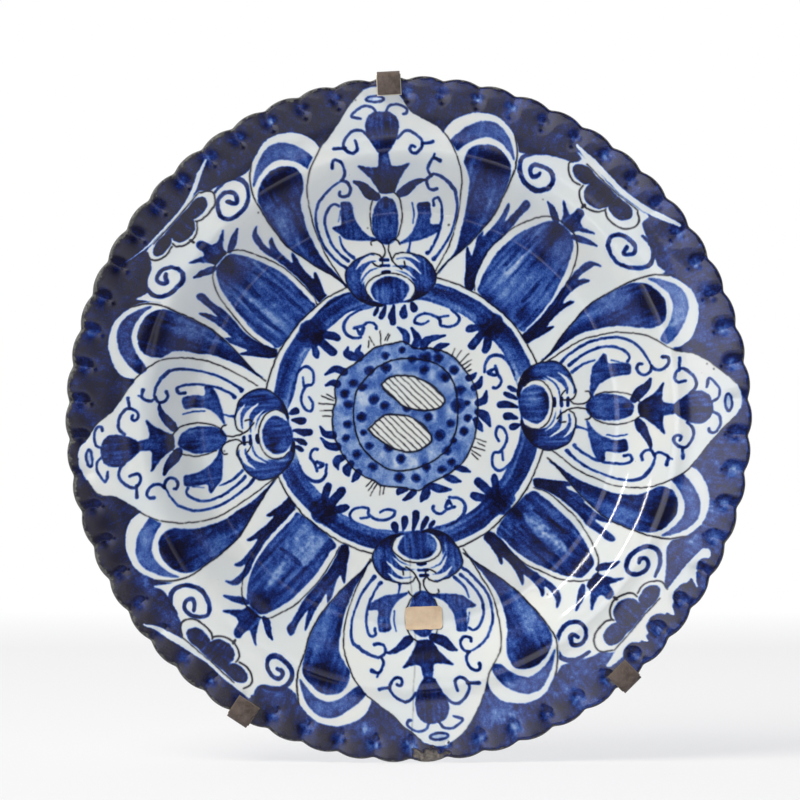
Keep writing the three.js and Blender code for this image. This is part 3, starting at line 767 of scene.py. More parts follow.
def flower(panel, amount):
    for centre, radii in FLOWER_WASHES:
        fill(panel, ellipse(centre, radii), amount, pooled=0.05)
    line(panel, [(-21.5, 154.6), (-22.4, 150), (-19.6, 146.4), (-15, 144.3), (-10.4, 145)], 0.8, 0.95)
    line(
        panel, [(-9, 146), (-8.6, 142.8), (-5, 139.8), (0, 138.6), (4.6, 140), (7.6, 143.4), (7.4, 145)], 0.8,
        0.95)
    line(
        panel, [(8, 144), (11, 142.2), (16, 142), (20.8, 143.2), (24, 147), (23.6, 151), (19.4, 154.4)], 0.8,
        0.95)
    line(panel, [(-16, 155.2), (-5, 154.8), (8, 154.9), (19, 155)], 0.6, 0.8)
    line(panel, [(-1.5, 139.2), (-1.5, 137.7)], 1.4, 1)


SPIRALS = (
    (
        [
            (-31, 150.5, 0.8), (-37, 147.5, 1), (-42.5, 142.5, 1.1), (-45.5, 136.5, 1.1), (-43, 131.5, 1.2),
            (-37, 128.4, 1.2), (-30, 129, 1.2), (-26, 133, 1.2), (-26.5, 138, 1.1), (-30.5, 140.7, 1),
            (-35.5, 140), (-39, 137.5, 1.1), (-38.6, 134.6, 1.1), (-35.8, 133, 1.1), (-34, 135, 1),
            (-34, 136.8, 0.8)],
        [
            (26, 147.6, 0.7), (32, 147, 0.8), (36.5, 144, 1), (38.5, 139.6, 1.1), (35.6, 134.6, 1),
            (30, 131, 0.9), (23.5, 129.7, 0.9), (17, 132, 1), (14.3, 136.4, 1), (17, 140.6, 1), (22, 142, 1),
            (26.6, 141.6, 1), (28.4, 138.5, 1.1), (26.6, 136.2, 1), (24.4, 135), (23.6, 138.6, 1)]
    ),
    (
        [
            (-31, 149, 0.7), (-36, 146.5, 0.9), (-39, 141.5, 1), (-38.2, 136, 1), (-34, 132.6, 1),
            (-28, 131.6, 1.1), (-23, 132.2, 1.2), (-20.6, 136, 1), (-22.6, 141, 1), (-27.6, 143.2, 1),
            (-31.6, 142, 1), (-31.8, 139.3, 1), (-29.6, 137, 1.1), (-28, 139.2, 1.1), (-26.4, 140.2, 0.8)],
        [
            (21, 149, 0.6), (29, 148.4, 0.8), (33.4, 145, 1.1), (34.2, 140, 1.1), (31, 135.4, 1),
            (26, 133, 1), (21, 132.6, 1), (15.5, 134.6, 1), (13.4, 138.6, 1.1), (15.4, 143, 1),
            (19.4, 145.4, 0.9), (24.4, 144.6, 1), (26.8, 141.4, 1.1), (25.6, 138.6, 1.1), (23.4, 137.6, 1.1),
            (21.4, 141, 1.2)]
    ),
    (
        [
            (-31.5, 151, 0.8), (-37, 147.6, 1), (-40.6, 143, 1.1), (-40.8, 138, 1.1), (-37.4, 134.4, 1.1),
            (-31.6, 133.6, 1.2), (-27, 134.4, 1.4), (-25.4, 138.4, 1.1), (-28, 142.2, 1), (-32.6, 143.4, 1),
            (-35.8, 142, 1), (-36, 139.4, 1.1), (-34.4, 138.4, 1.2), (-32, 139, 0.9)],
        [
            (25, 151, 0.6), (30, 149, 0.9), (33.4, 145, 1.1), (33, 140.4, 1), (29, 136.2, 1),
            (22.6, 134.1, 1.1), (15.6, 136.6, 1), (12.4, 141, 1), (14.6, 144.8, 1), (19.6, 147.2, 1),
            (24, 146.4, 1), (25.4, 143, 1), (24, 140.6, 1.1), (21.6, 141.2, 1.1), (19.2, 144.2, 0.9)]
    ),
    (
        [
            (-22.6, 146, 0.6), (-29.5, 143.2, 0.9), (-33.4, 138.4, 1.1), (-31.6, 133.2, 1.1),
            (-26, 130.1, 1.2), (-19.4, 130.4, 1.1), (-15.6, 133.6, 1), (-16.6, 137.8, 1), (-20.8, 140.3, 0.9),
            (-24.8, 139.6), (-26.4, 136.8), (-24.8, 134.6, 1.1), (-22.6, 135.4, 0.9)],
        [
            (28, 146, 0.7), (34, 144.4, 1), (38.6, 140.2, 1.2), (38.8, 135.4, 1.2), (35.6, 131, 1),
            (30, 128.6, 1), (24, 129, 1), (20.2, 132.6, 1), (20.6, 137, 1), (24, 140, 1), (28, 140.2, 1),
            (30.8, 137.6, 1.1), (29.2, 134.4, 1.2), (27, 134.2, 1.1), (26.4, 136.8, 0.9)]
    ),
)


def crown(panel):
    fill(panel, [
        (-11.8, 134.6), (-7.6, 133), (-4.4, 131.4), (-3.4, 133.6), (-2.8, 136), (-0.8, 136.8), (1.4, 136),
        (1.8, 133.4), (2.6, 131.8), (5.6, 131.2), (11.6, 133.2), (8.4, 129.8), (5.2, 127.4), (4, 125.4),
        (3.2, 123.6), (-4.2, 123.4), (-5.2, 125.6), (-6.6, 128.2), (-8.8, 131.4)
    ], 0.9, shade=toned((-0.5, 125.5, 5, 3, 0.35)))
    stroke(
        panel, [(-16.4, 127.6, 0.3), (-12.6, 126.2, 0.9), (-8.8, 123.8, 1.15), (-6.2, 122.6, 0.7)], 3.1, 0.92)
    stroke(panel, [(16.6, 127.4, 0.3), (12.2, 125.9, 0.9), (8, 123.8, 1.1), (5.2, 122.4, 0.7)], 3.1, 0.88)


# Melons: height with left and right edge, then gaps to the thin arch round them, left, right and at the top
MELONS = (
    (
        (124.5, -11.2, -0.5), (119, -16.6, 4.9), (107.5, -21.5, 10), (95, -23.3, 13.2), (84.5, -22, 14.2),
        (76, -19, 13.5), (71.6, -14.6, 11)),
    (
        (124, -6.8, 0.3), (121.4, -9.9, 4), (115.7, -13.6, 7.3), (108.6, -16, 10.1), (97, -18.1, 12.5),
        (87, -18.6, 12.4), (78, -17.6, 11.4), (73.6, -15.4, 9.4)),
    (
        (124.4, -7.2, -0.2), (121.4, -10.1, 3.9), (115.7, -12.6, 7.9), (108.6, -14.7, 10.7),
        (97, -15.7, 12.6), (87, -15.3, 12.4), (78, -13.6, 11.7), (72.6, -12.2, 10.4)),
    (
        (119.6, -6.4, 1.2), (117.4, -8.9, 3.8), (109.2, -12.8, 8.8), (96, -15.2, 13), (86.2, -15.8, 14.2),
        (78, -15, 14.2), (71, -12.4, 12.2)),
)
ARCH_GAPS = ((4, 3.4, 2), (2.8, 2.8, 2), (3.4, 3.6, 1.8), (3.4, 2.6, 5))
MELON_DEPTHS = (0.66, 0.7, 0.7, 0.84)
# Darker and paler places of each melon: u, v, their reach and how much
MELON_SHADES = (
    (
        (-7.5, 120, 4.5, 6, 0.5), (-5, 106.5, 5, 5.5, 0.5), (-12, 93, 2.5, 9, -0.22), (-2, 88, 4, 9, -0.12),
        (8, 79, 4.5, 5, 0.4), (-8, 73.5, 8, 2.5, 0.3)),
    (
        (-2.4, 121, 5, 7, 0.5), (-3, 108, 3, 10, 0.2), (-7, 91, 3, 12, -0.16), (7, 112, 2, 6, -0.1),
        (-16, 84, 3, 9, 0.2), (10, 84, 2.5, 9, 0.15)),
    ((-4, 119, 5.5, 7, 0.5), (-12, 96, 3, 18, 0.22), (9, 100, 3, 16, 0.2), (-13, 78, 4, 6, 0.2)),
    ((-2, 115, 8, 5, 0.35), (-9.5, 92, 3, 16, 0.2), (8, 92, 3.5, 16, 0.2), (-1, 74, 4, 4, 0.3)),
)
MELON_STROKES = (
    (
        [(-15.6, 110, 0.5), (-15.8, 92)], [(-13.4, 112), (-13.6, 90, 0.5)], [(3, 95), (3.2, 84)],
        [(7, 108), (8, 96, 0.5)]),
    (
        [(-9.4, 112, 0.5), (-10.8, 100), (-10.6, 86), (-9.4, 77, 0.5)],
        [(3.4, 109, 0.5), (5, 98), (5.4, 84), (5, 75, 0.5)], [(-4, 118), (-3.4, 108, 1.2), (-4, 99, 0.4)]),
    (
        [(-7.6, 113, 0.5), (-9.8, 104), (-10, 90), (-9, 78, 0.5)], [(-5.4, 104, 0.6), (-5.4, 96, 0.6)],
        [(-9, 93, 0.6), (-2, 92.4, 1.1), (6.6, 93.2, 0.6)]),
    ([(-6.6, 106, 0.6), (-8.4, 94), (-7.4, 79, 0.6)], [(3, 106, 0.6), (4.4, 93), (3, 79, 0.6)]),
)
# Places where the wash was left thin: which melon, the outline and the share taken off
MELON_CORES = (
    (2, [(-9.6, 91.6), (-3, 91), (5.6, 91.4), (6, 84), (5.6, 75.4), (-2, 75), (-8, 76)], 0.3),
    (2, [(-1.6, 114), (-2.6, 108), (-1.4, 100), (1, 96.4), (1.2, 102), (0.2, 108)], 0.45),
    (3, [(-2.2, 107), (-5, 101), (-6, 91), (-5, 81), (-2.6, 76), (0.2, 80), (1.6, 90), (0.4, 100)], 0.42),
    (3, [(-2.4, 100), (-3.8, 92), (-2.6, 83), (-1, 91)], 0.3),
    (0, [(-13.4, 104), (-15, 96), (-13.6, 87), (-11.4, 94)], 0.3),
)


def melon(panel, number):
    rows = MELONS[number]
    left, right, above = ARCH_GAPS[number]
    top, top_left, top_right = rows[0]
    middle = (top_left + top_right) / 2
    low = top + 0.3 * above
    round_it = [(a - left, v) for v, a, b in rows[:0:-1]]
    round_it += [(top_left - 0.7 * left, low), (middle, top + above), (top_right + 0.7 * right, low)]
    round_it += [(b + right, v) for v, a, b in rows[1:]]
    wipe(panel, round_it + [(middle, 68)])
    fill(panel, [(a, v) for v, a, b in rows] + [(b, v) for v, a, b in reversed(rows)], MELON_DEPTHS[number],
         streaks=0.15, grain=(1.4, 11), shade=toned(*MELON_SHADES[number]))
    strokes(panel, 2.3, MELON_DEPTHS[number] + 0.1, *MELON_STROKES[number])
    for which, core, share in MELON_CORES:
        if which == number:
            thinned(panel, core, share)
    line(panel, round_it, 0.6, 0.75)


# Leaf blades on both sides of a melon, and how far each pair is shifted to the right
BLADE_LEFT = [
    (-20, 119.6), (-17.6, 117.4), (-17.6, 112), (-16.6, 104), (-17.6, 94), (-17.4, 84), (-16, 76),
    (-15.4, 71.6), (-17.6, 68.6), (-20, 70), (-23, 76), (-26, 81.4), (-28.4, 85.4), (-26.2, 84.6),
    (-23.8, 83.6), (-25.6, 90), (-28.4, 98.6), (-25.2, 96), (-24, 95.4), (-24.2, 103), (-26.4, 112.4),
    (-23.4, 109.6), (-21.2, 105.6), (-21, 112), (-21.4, 117.6)]
BLADE_RIGHT = [
    (15.2, 69.6), (14.8, 76), (15.6, 84), (16.2, 94), (15.4, 103), (14.2, 110), (15, 116), (18, 119),
    (22, 119.8), (19.2, 117), (17.4, 112), (17.8, 108.4), (20, 110.4), (22.6, 111), (20.6, 107), (19.8, 101),
    (20.2, 96.6), (22.4, 99), (24.6, 100), (22.6, 95), (21, 88), (21, 82.6), (22.4, 84), (24.2, 84.6),
    (22.4, 79), (20.8, 73), (20, 69.2), (17.6, 68)]
BLADE_SHIFTS = ((-4.2, 3.8), (-2.3, 2.5), (-1.5, -1.0), (-3.1, 0.3))


def blades(panel, number):
    left, right = BLADE_SHIFTS[number]
    for blade, shift, low in ((BLADE_LEFT, left, 90), (BLADE_RIGHT, right, 100)):
        def toward_foot(u, v, low=low):
            return 0.35 * np.clip((low - v) / 18, 0, 1)

        moved = [(u + shift * np.clip((v - 66) / 14, 0.4, 1), v) for u, v in blade]
        fill(panel, moved, 0.9, grain=(1.2, 12), shade=toward_foot)


def rosette(panel):
    centre = (1, 62.6)
    fill(
        panel, ellipse(centre, (7.2, 6.6)), 0.84, streaks=0.12, pooled=-0.1,
        shade=toned((*centre, 3.8, 3.8, 0.34)))
    for angle in range(20, 380, 60):
        a = np.radians(angle)
        lobe = (centre[0] + 5 * np.cos(a), centre[1] + 4.6 * np.sin(a))
        fill(
            panel, ellipse(lobe, (3.8, 3.4)), 0.82, streaks=0.12, pooled=-0.05,
            shade=toned((*centre, 4.4, 4.4, 0.34)))
    stroke(panel, [(-3, 57.2, 0.8), (-5.6, 54, 1), (-6.6, 52.4, 0.7)], 3.8, 0.98)
    stroke(panel, [(0.6, 56), (0.4, 50.4), (0.4, 48)], 4.3, 0.98)
    stroke(panel, [(4, 57), (6.4, 53, 1.1), (7.2, 50.6, 0.9)], 3.9, 0.98)


CHORD_WIDTH = 2.4
SPIRAL_WIDTH = 2.05
FLOWER_DEPTHS = (1.2, 1.3, 1.1, 1.02)
LOWER_RIGHT = 3


def diagonal(number):
    """One diagonal between two cartouches: flower, spirals, melon, blades and crown."""
    panel = DIAGONALS[number]
    plain = Panel(np.degrees(panel.turn))
    wipe(plain, GROUNDS[number])
    wipe(plain, CHORDS[number], CHORD_WIDTH)
    if number == LOWER_RIGHT:
        hanging_lobes(panel)
    flower(panel, FLOWER_DEPTHS[number])
    strokes(plain, SPIRAL_WIDTH, 0.95, *SPIRALS[number])
    melon(plain, number)
    blades(panel, number)
    crown(panel)


# Rings and medallion in the middle

# Radii of the blue band and of the thin line round it
BAND_INNER = 59.0
BAND_OUTER = 69.4
BAND_LINE = 72.3


def band():
    cx, cz = PATTERN_CENTRE
    window, x, z = box_around(np.array([[-80, -80], [80, 80]], float), 0)
    radius = np.hypot(x - cx, z - cz)
    angle = np.arctan2(z - cz, x - cx)
    waver = 0.6 * cloud(np.cos(angle) * 60, np.sin(angle) * 60, 14, 31)
    white = np.clip((BAND_LINE + waver - radius) / 0.4, 0, 1)
    cobalt[window] *= 1 - white
    outline[window] *= 1 - white
    cover = np.clip((BAND_OUTER + waver - radius) / 0.4 + 0.5, 0, 1)
    cover = cover * np.clip((radius - BAND_INNER - waver) / 0.4 + 0.5, 0, 1)
    along = cloud(radius, angle * 60, 1.3, 32, 22)
    depth = 0.77 + 0.11 * along + 0.08 * cloud(x, z, 0.8, 33) + 0.12 * cloud(x, z, 12, 34)
    depth += 0.16 * ring_spot(radius, BAND_OUTER - 3.4, 2.4) - 0.12 * ring_spot(radius, BAND_INNER + 2, 2)
    lay(window, cover, depth)
    ring_line = ellipse((cx, cz), (BAND_LINE, BAND_LINE), 60)
    line(WHOLE, ring_line + ring_line[:2], 0.75, 0.85)


# Medallion: its outline, the line inside it, dots with their size, leaf shapes, sprigs and ticks round it
MEDALLION = [
    (-28, 28), (-22, 33), (-17, 36.4), (-12, 37.6), (-7, 38.8), (-3, 39.3), (0, 38), (3, 36.2), (6, 35.8),
    (10, 36.3), (14, 35.5), (18, 34.5), (22, 32.4), (26, 28.6), (30, 23.5), (33, 18), (35, 12), (35.4, 5),
    (35, -2), (34, -8), (31.5, -15), (28, -21.5), (24, -25.4), (20, -28.6), (15, -31), (10, -33.4),
    (6, -36.2), (2, -36.4), (-3, -35), (-9, -34.5), (-14, -34), (-18, -31.4), (-23, -29.4), (-27, -26.4),
    (-31, -21.6), (-35, -16), (-38, -9), (-39, -2), (-38.8, 4), (-37.4, 9), (-37.6, 15), (-35.6, 21),
    (-32, 25.4)]
INNER_LINE = [
    (-15, 27), (-8, 30), (2, 30.8), (12, 29.2), (18, 25.4), (22.6, 19), (25, 8), (24.6, -4), (21, -13.6),
    (13, -21.6), (4, -25.4), (-4, -26.4), (-10.6, -25.4), (-19, -19.6), (-25.6, -11), (-28.4, 1), (-27.2, 12),
    (-22, 20.4), (-15.6, 26.8)]
DOTS = (
    (-3.3, 35.2, 1.9), (-11.8, 32.4, 2.3), (-20.2, 24.4, 2.7), (-28, 18, 2.7), (-32.6, 12.8, 2.4),
    (-31, 7.2, 2.6), (-31.4, -3, 2.3), (-32, -10, 2.2), (-26.4, -18, 2.7), (-18, -24.4, 2.6),
    (-4.6, -29.8, 2.8), (4, -30, 2.5), (9.4, -24.8, 2.4), (17, -26, 2.4), (22, -22, 2.4), (28.4, -6.2, 2.5),
    (30.6, 0.4, 2.2), (25.4, 6.6, 4.0), (26.2, 14.6, 2.8), (23.2, 25, 2.7), (19, 21.2, 2.7), (15, 31.4, 2.9),
    (8.4, 31.4, 3.6), (2, 30.4, 2.3), (8, 25.6, 2.8), (-11.6, 26, 3.0), (-23.4, 16, 2.5), (-17.6, 9.6, 2.9),
    (-12, 6.6, 2.5), (-24, 0.8, 2.7), (-0.8, 6.4, 2.7), (10, 0.8, 2.5), (21.4, -2.4, 2.4), (16, -8, 3.0),
    (19.6, -16, 2.5), (-10, -14.6, 2.7), (-20, -13.6, 2.3), (-4, -20.4, 2.7), (-23, -7, 1.8), (23, -11, 1.8),
    (30, 8, 1.6))
LEAF_SHAPES = (
    [
        (-14, 17.2), (-10.5, 20.6), (-5, 22.4), (1, 22.2), (7, 20.2), (13, 16.4), (17.4, 12), (18.4, 8.6),
        (15.6, 5.6), (10, 4.4), (3, 5), (-2.6, 6.8), (-7.6, 10.4), (-12, 14)],
    [
        (-20.6, -5), (-16, -0.6), (-11.6, 2), (-6.6, 2.3), (0, 1.4), (5.4, -1.6), (9.6, -5.6), (12, -10),
        (10.4, -13), (6, -16), (0.4, -17), (-5.4, -16.2), (-11, -13.6), (-16.6, -9.4)],
)
SPRIGS = (
    [(-25, 31, 0.9), (-29.6, 32.4, 1.3), (-31.8, 33.6, 1), (-31, 36.6, 0.3)],
    [(-24.6, 32.4), (-26.4, 34.4, 0.9), (-24.6, 37.6, 0.3)],
    [(-33, 24.2, 1.2), (-37.6, 25.4, 1), (-42.4, 22.6, 0.3)],
    [(-36.4, 18, 1.1), (-39.4, 18.6, 0.8), (-42.4, 17.2, 0.3)],
    [(-38.6, -8.4, 1.2), (-42.4, -7.8, 0.9), (-45.2, -4, 0.3)],
    [(-36.6, -14.4, 1.3), (-41, -13.6, 1), (-44.8, -9.6, 0.3)],
    [(-33, -19.6, 0.8), (-36.6, -21.6, 1.2), (-36, -26, 0.3)],
    [(-29, -22.4, 0.9), (-31.4, -26, 1.3), (-30.6, -29.4, 0.4)],
    [(-25.6, -27.4, 1.1), (-27, -30, 1), (-28.6, -32.4, 0.3)],
    [(-1.4, -36, 0.8), (-4.6, -36.6, 1), (-5.6, -38, 0.5)],
    [(2.6, -37.4, 1), (0, -39.8, 0.9), (-3, -41.4, 0.3)], [(9.4, -35, 1), (8.6, -38.6, 1.4), (6.4, -42, 0.4)],
    [(11.4, -34, 1), (15.6, -35.8, 1.3), (21.6, -36.2, 0.3)],
    [(19.6, -29.8, 1), (22.6, -30.8, 1.1), (26.8, -32, 0.3)],
    [(24.6, -24.8, 0.9), (27.6, -25.6, 1), (31.6, -27, 0.3)],
    [(34.6, -0.6, 0.9), (36, -3.4, 1.1), (37.4, -6.2, 0.3)],
    [(35.4, 3.4, 1), (39, 1.4, 1.4), (41.6, -3.6, 0.4)], [(35.4, 8, 1), (38.6, 9.6, 1.1), (40, 14, 0.3)],
    [(33, 15.6, 1), (36, 17.6, 1.1), (37.6, 21.6, 0.3)],
    [(30.6, 20.8, 1), (32.6, 21.6, 0.9), (34.4, 23.6, 0.3)],
    [(3.4, 37.4, 1.2), (4.6, 40.6, 1.2), (1.4, 46.4, 0.3)],
    [(7.6, 36.6, 1.1), (9.6, 40, 1.2), (18.6, 42.6, 0.3)],
    [(14.4, 35.6, 1.1), (16.6, 37.2, 0.9), (20.4, 38.2, 0.3)],
    [(-1, 39.4, 1), (-1.6, 43.4, 1), (-5.4, 47, 0.3)],
)
TICKS = (
    ((-20.6, 36.6), (-20.6, 40)), ((-17.4, 37.4), (-20.4, 41.8)), ((-14.2, 38), (-14.8, 45)),
    ((-12.2, 39.8), (-10.6, 43.6)), ((-11, 39.8), (-9.6, 43)), ((-38.4, 9.6), (-44.6, 11.6)),
    ((-38, 10.6), (-42, 12.8)), ((-38, 7.3), (-46, 8)), ((-39, 4.3), (-45.6, 4.2)), ((-40, 1.3), (-44, 1.6)),
    ((-18.8, -31.6), (-22, -34.6)), ((-17.2, -32.2), (-21, -37)), ((-16.2, -33.2), (-19.8, -39.6)),
    ((-14.4, -34), (-14.8, -39)), ((-12.4, -34.8), (-13.2, -38.4)), ((34, -10), (39.6, -11.6)),
    ((35, -12), (39, -14)), ((32.6, -14.4), (39, -16.2)), ((32, -16), (36.6, -19)),
    ((32, -17.6), (35.4, -21)), ((22, 32), (23.6, 36)), ((24.4, 31.4), (27, 35)),
    ((25.8, 28.4), (30.6, 33.6)), ((26.8, 27.2), (32.2, 30.4)), ((28.6, 25.6), (32, 28)),
    ((30.4, 24.4), (32, 25.4)),
)


def medallion():
    paler_above = toned((-4, 25, 8, 4, 0.16), (32, 10, 4, 18, 0.12), (-36, 2, 4, 12, 0.12))
    paler_below = toned((-4, -23, 12, 4, 0.12), (3, -31, 4, 4, 0.1), (-24, 8, 3, 6, 0.1))

    def wash(u, v):
        paler = paler_above(u, v) + paler_below(u, v)
        return 0.10 * spot(u, v, (6, 28), (12, 5)) - paler + 0.1 * cloud(u, v, 4.5, 41)

    fill(WHOLE, MEDALLION, 0.42, streaks=0.1, grain=(2.2, 4), shade=wash, pooled=0.02)
    for x, z, size in DOTS:
        fill(WHOLE, ellipse((x, z), (size * 1.06, size), 10), 0.84, streaks=0.05, pooled=-0.22,
             shade=toned((x, z, 1.7, 1.5, 0.36)))
    for shape in LEAF_SHAPES:
        wipe(WHOLE, shape)
    strokes(WHOLE, 3.4, 0.95, *SPRIGS)
    line(WHOLE, MEDALLION + MEDALLION[:1], 0.75, 0.95)
    line(WHOLE, INNER_LINE, 0.75, 0.95)
    for number, shape in enumerate(LEAF_SHAPES):
        line(WHOLE, shape + shape[:1], 0.85, 0.95)
        hatch(shape, number)
    for tick in TICKS:
        line(WHOLE, tick, 0.5, 0.9)


HATCH_SLOPE = -0.95
HATCH_SPACING = 2.55
HATCH_HALF = 0.22  # half the width of a line


def hatch(shape, number):
    """Parallel thin lines, leaning down to the right, kept inside a leaf shape."""
    window, x, z, cover = cover_of_shape(WHOLE, shape)
    across = (z - HATCH_SLOPE * x) / np.hypot(1, HATCH_SLOPE)
    across = across + 0.25 * cloud(x, z, 9, 50 + number)
    phase = (across / HATCH_SPACING + 0.3 * number) % 1
    away = np.minimum(phase, 1 - phase) * HATCH_SPACING
    mark = np.clip((HATCH_HALF - away) / 0.25 + 0.5, 0, 1) * cover * 0.8
    np.maximum(outline[window], mark, out=outline[window])


# A crack from the well to the lower edge, and specks in the glaze: a panel's turn, u, v and size
CRACK = [(0.6, -61), (0.9, -75), (2.0, -96), (3.6, -112), (3.2, -124), (2.4, -140), (2.0, -152), (1.4, -168)]
SPECKS = (
    (94.7, -13, 99, 0.5), (94.7, -13.5, 162.5, 0.6), (2.2, -20, 154.8, 0.6), (2.2, -22.5, 151.5, 0.5),
    (186, -6.5, 95, 0.5), (138.4, 27.5, 126, 0.5), (94.7, 28, 97, 1.0), (229.3, 4, 108, 0.4),
    (318.6, 20, 112, 0.5), (48, -24, 128, 0.4),
)


def flaws():
    line(WHOLE, CRACK, 0.3, 0.42)
    for turn, u, v, size in SPECKS:
        line(Panel(turn), [(u, v), (u + 0.3, v + 0.2)], size, 0.9)


def settled():
    """Both layers after the firing: edges shifted a little by hand and softened."""
    x, z = whole_sheet()
    shift_x = 0.09 * cloud(x, z, 2.0, 61) + 0.22 * cloud(x, z, 9, 62)
    shift_z = 0.09 * cloud(x, z, 2.0, 63) + 0.22 * cloud(x, z, 9, 64)
    row = np.clip(((z + shift_z + PAINT_REACH) / PAINT_STEP).round().astype(int), 0, PAINT_SIZE - 1)
    col = np.clip(((x + shift_x + PAINT_REACH) / PAINT_STEP).round().astype(int), 0, PAINT_SIZE - 1)
    blue = blurred(cobalt[row, col], 0.22)
    pooled = blue + 0.5 * (blue - blurred(blue, 0.9))
    halo = 0.05 * np.minimum(blurred(blue, 1.5), 1)
    return np.maximum(pooled, halo), blurred(outline[row, col], 0.18)


def paint():
    """Draws the whole pattern, from the border to the middle, and gives both layers."""
    ground()
    for number, panel in enumerate(ARMS):
        arm(panel, number)
    for number in range(4):
        diagonal(number)
    for number, panel in enumerate(ARMS):
        arm(panel, number)
    for name in CARTOUCHES:
        cartouche(name)
    band()
    for panel in CARTOUCHES.values():
        collar(panel)
        stems(panel)
        drops(panel)
        ring_scrolls(panel)
    for panel in DIAGONALS:
        rosette(panel)
    medallion()
    flaws()
    return settled()


# Dish form

RIM_RADIUS = 173.2  # to the crest of a lobe
SCALLOP_DEPTH = 2.2
RIDGE_HEIGHT = 0.7
RIDGE_TOP = 170
RIDGE_START = 156
WELL_RADIUS = 105
SHOULDER_RADIUS = 138
WELL_FRONT = 16.5
WALL_RISE = 17
RIM_RISE = 8.5
SHOULDER_SAG = 1.2  # of the front, on a circle of this radius, fading over this reach
SAG_RADIUS = 143
SAG_REACH = 10
WELL_THICKNESS = 7
RIM_THICKNESS = 4.6
LIP_ROUND = 1.6
CORNER_ROUND = 3.5  # where the well turns into the wall
DIMPLE_RADIUS = 165
DIMPLE_DEPTH = 0.8
DIMPLE_REACH = 3.4
CHIP_DEPTH = 1.1
NOTCH_ROUND = 0.06  # of the notch, in lobes
SECTION_STEP = 0.25
# Outline of the foot ring on the dish's back, as radius and depth
FOOT = [
    (73, 9.5), (71.2, 9.5), (70.3, 9.0), (69.9, 8.0), (69.2, 4.1), (68.8, 3.3), (68.0, 3.0), (66, 3.0),
    (64, 3.0), (63.2, 3.3), (62.8, 4.1), (62.1, 8.0), (61.7, 9.0), (60.8, 9.5), (59, 9.5)]


def ease(low, high, value):
    t = np.clip((value - low) / (high - low), 0, 1)
    return t * t * (3 - 2 * t)


def rounded_ramp(value, reach):
    """0 below 0 and the value above it, with the corner rounded."""
    bend = reach * (1 + np.clip(value / reach, -1, 1)) ** 2 / 4
    return np.where(np.abs(value) < reach, bend, np.maximum(value, 0))


def rise(radius):
    slope = rounded_ramp(radius - WELL_RADIUS, CORNER_ROUND) / (RIM_RADIUS - WELL_RADIUS)
    return WELL_FRONT + WALL_RISE * ease(WELL_RADIUS, SHOULDER_RADIUS, radius) + RIM_RISE * slope


def front_depth(radius):
    return rise(radius) - SHOULDER_SAG * ring_spot(radius, SAG_RADIUS, SAG_REACH)


def back_depth(radius):
    thinner = (WELL_THICKNESS - RIM_THICKNESS) * ease(SHOULDER_RADIUS, RIM_RADIUS, radius)
    return rise(radius) - WELL_THICKNESS + thinner


def quarter(centre, start, end):
    """Points of the lip's rounding."""
    angles = np.radians(np.linspace(start, end, 9))
    return np.stack([centre[0] + LIP_ROUND * np.cos(angles), centre[1] + LIP_ROUND * np.sin(angles)], 1)


def dish_section():
    """Radius and depth from the front's middle, over the lip, to the back's middle."""
    lip = RIM_RADIUS - LIP_ROUND
    front = np.arange(0, lip, SECTION_STEP)
    upper = quarter((lip, front_depth(lip) - LIP_ROUND), 90, 0)
    lower = quarter((lip, back_depth(lip) + LIP_ROUND), 0, -90)
    back = np.arange(lip - SECTION_STEP, FOOT[0][0], -SECTION_STEP)
    return np.vstack([np.stack([front, front_depth(front)], 1), upper, lower,
                      np.stack([back, back_depth(back)], 1), smooth_path(FOOT), [(0, FOOT[-1][1])]])


SECTION = dish_section()
LENGTHS = np.concatenate([[0], np.cumsum(np.hypot(*np.diff(SECTION, axis=0).T))])
LIP_PLACE = LENGTHS[np.argmax(SECTION[:, 0] > RIM_RADIUS - 0.01)] + (RIM_THICKNESS - 2 * LIP_ROUND) / 2


def place_at(radius, back=False):
    """The place along the section where it has a radius."""
    count = int(np.argmax(LENGTHS >= LIP_PLACE))
    if back:
        return float(np.interp(-radius, -SECTION[count:, 0], LENGTHS[count:]))
    return float(np.interp(radius, SECTION[:count, 0], LENGTHS[:count]))


def scallop(angle):
    """1 on the crest of a lobe, 0 in a notch."""
    turn = lobes_round(np.degrees(angle))
    from_notch = np.hypot(0.5 - np.abs(turn - np.floor(turn) - 0.5), NOTCH_ROUND)
    return 1 - np.maximum(1 - 2 * from_notch, 0) ** 2.2


def notch_distance(angle, radius):
    """Millimetres round the dish from the nearest notch."""
    turn = lobes_round(np.degrees(angle))
    return (turn - np.round(turn)) * 2 * np.pi * radius / LOBES


def dimple(angle, radius):
    """1 in the hollow that the potter's finger pressed behind each notch."""
    return np.exp(-((radius - DIMPLE_RADIUS) ** 2 + notch_distance(angle, radius) ** 2) / DIMPLE_REACH**2)


def chip(x, z):
    """1 where glaze and body have broken off the lower edge."""
    u, v = CARTOUCHES["bottom"].local(x, z)
    ragged = 0.2 * cloud(x, z, 1.6, 71) + 0.12 * cloud(x, z, 3.5, 72)
    gone = spot(u, v, (2, 171.2), (8.6, 5.0)) + ragged * (spot(u, v, (2, 170), (11, 7)) > 0.1)
    return ease(0.42, 0.6, gone)


def unevenness(x, z):
    """How far the dish's surface strays from its even form."""
    return 0.2 * cloud(x, z, 45, 73)


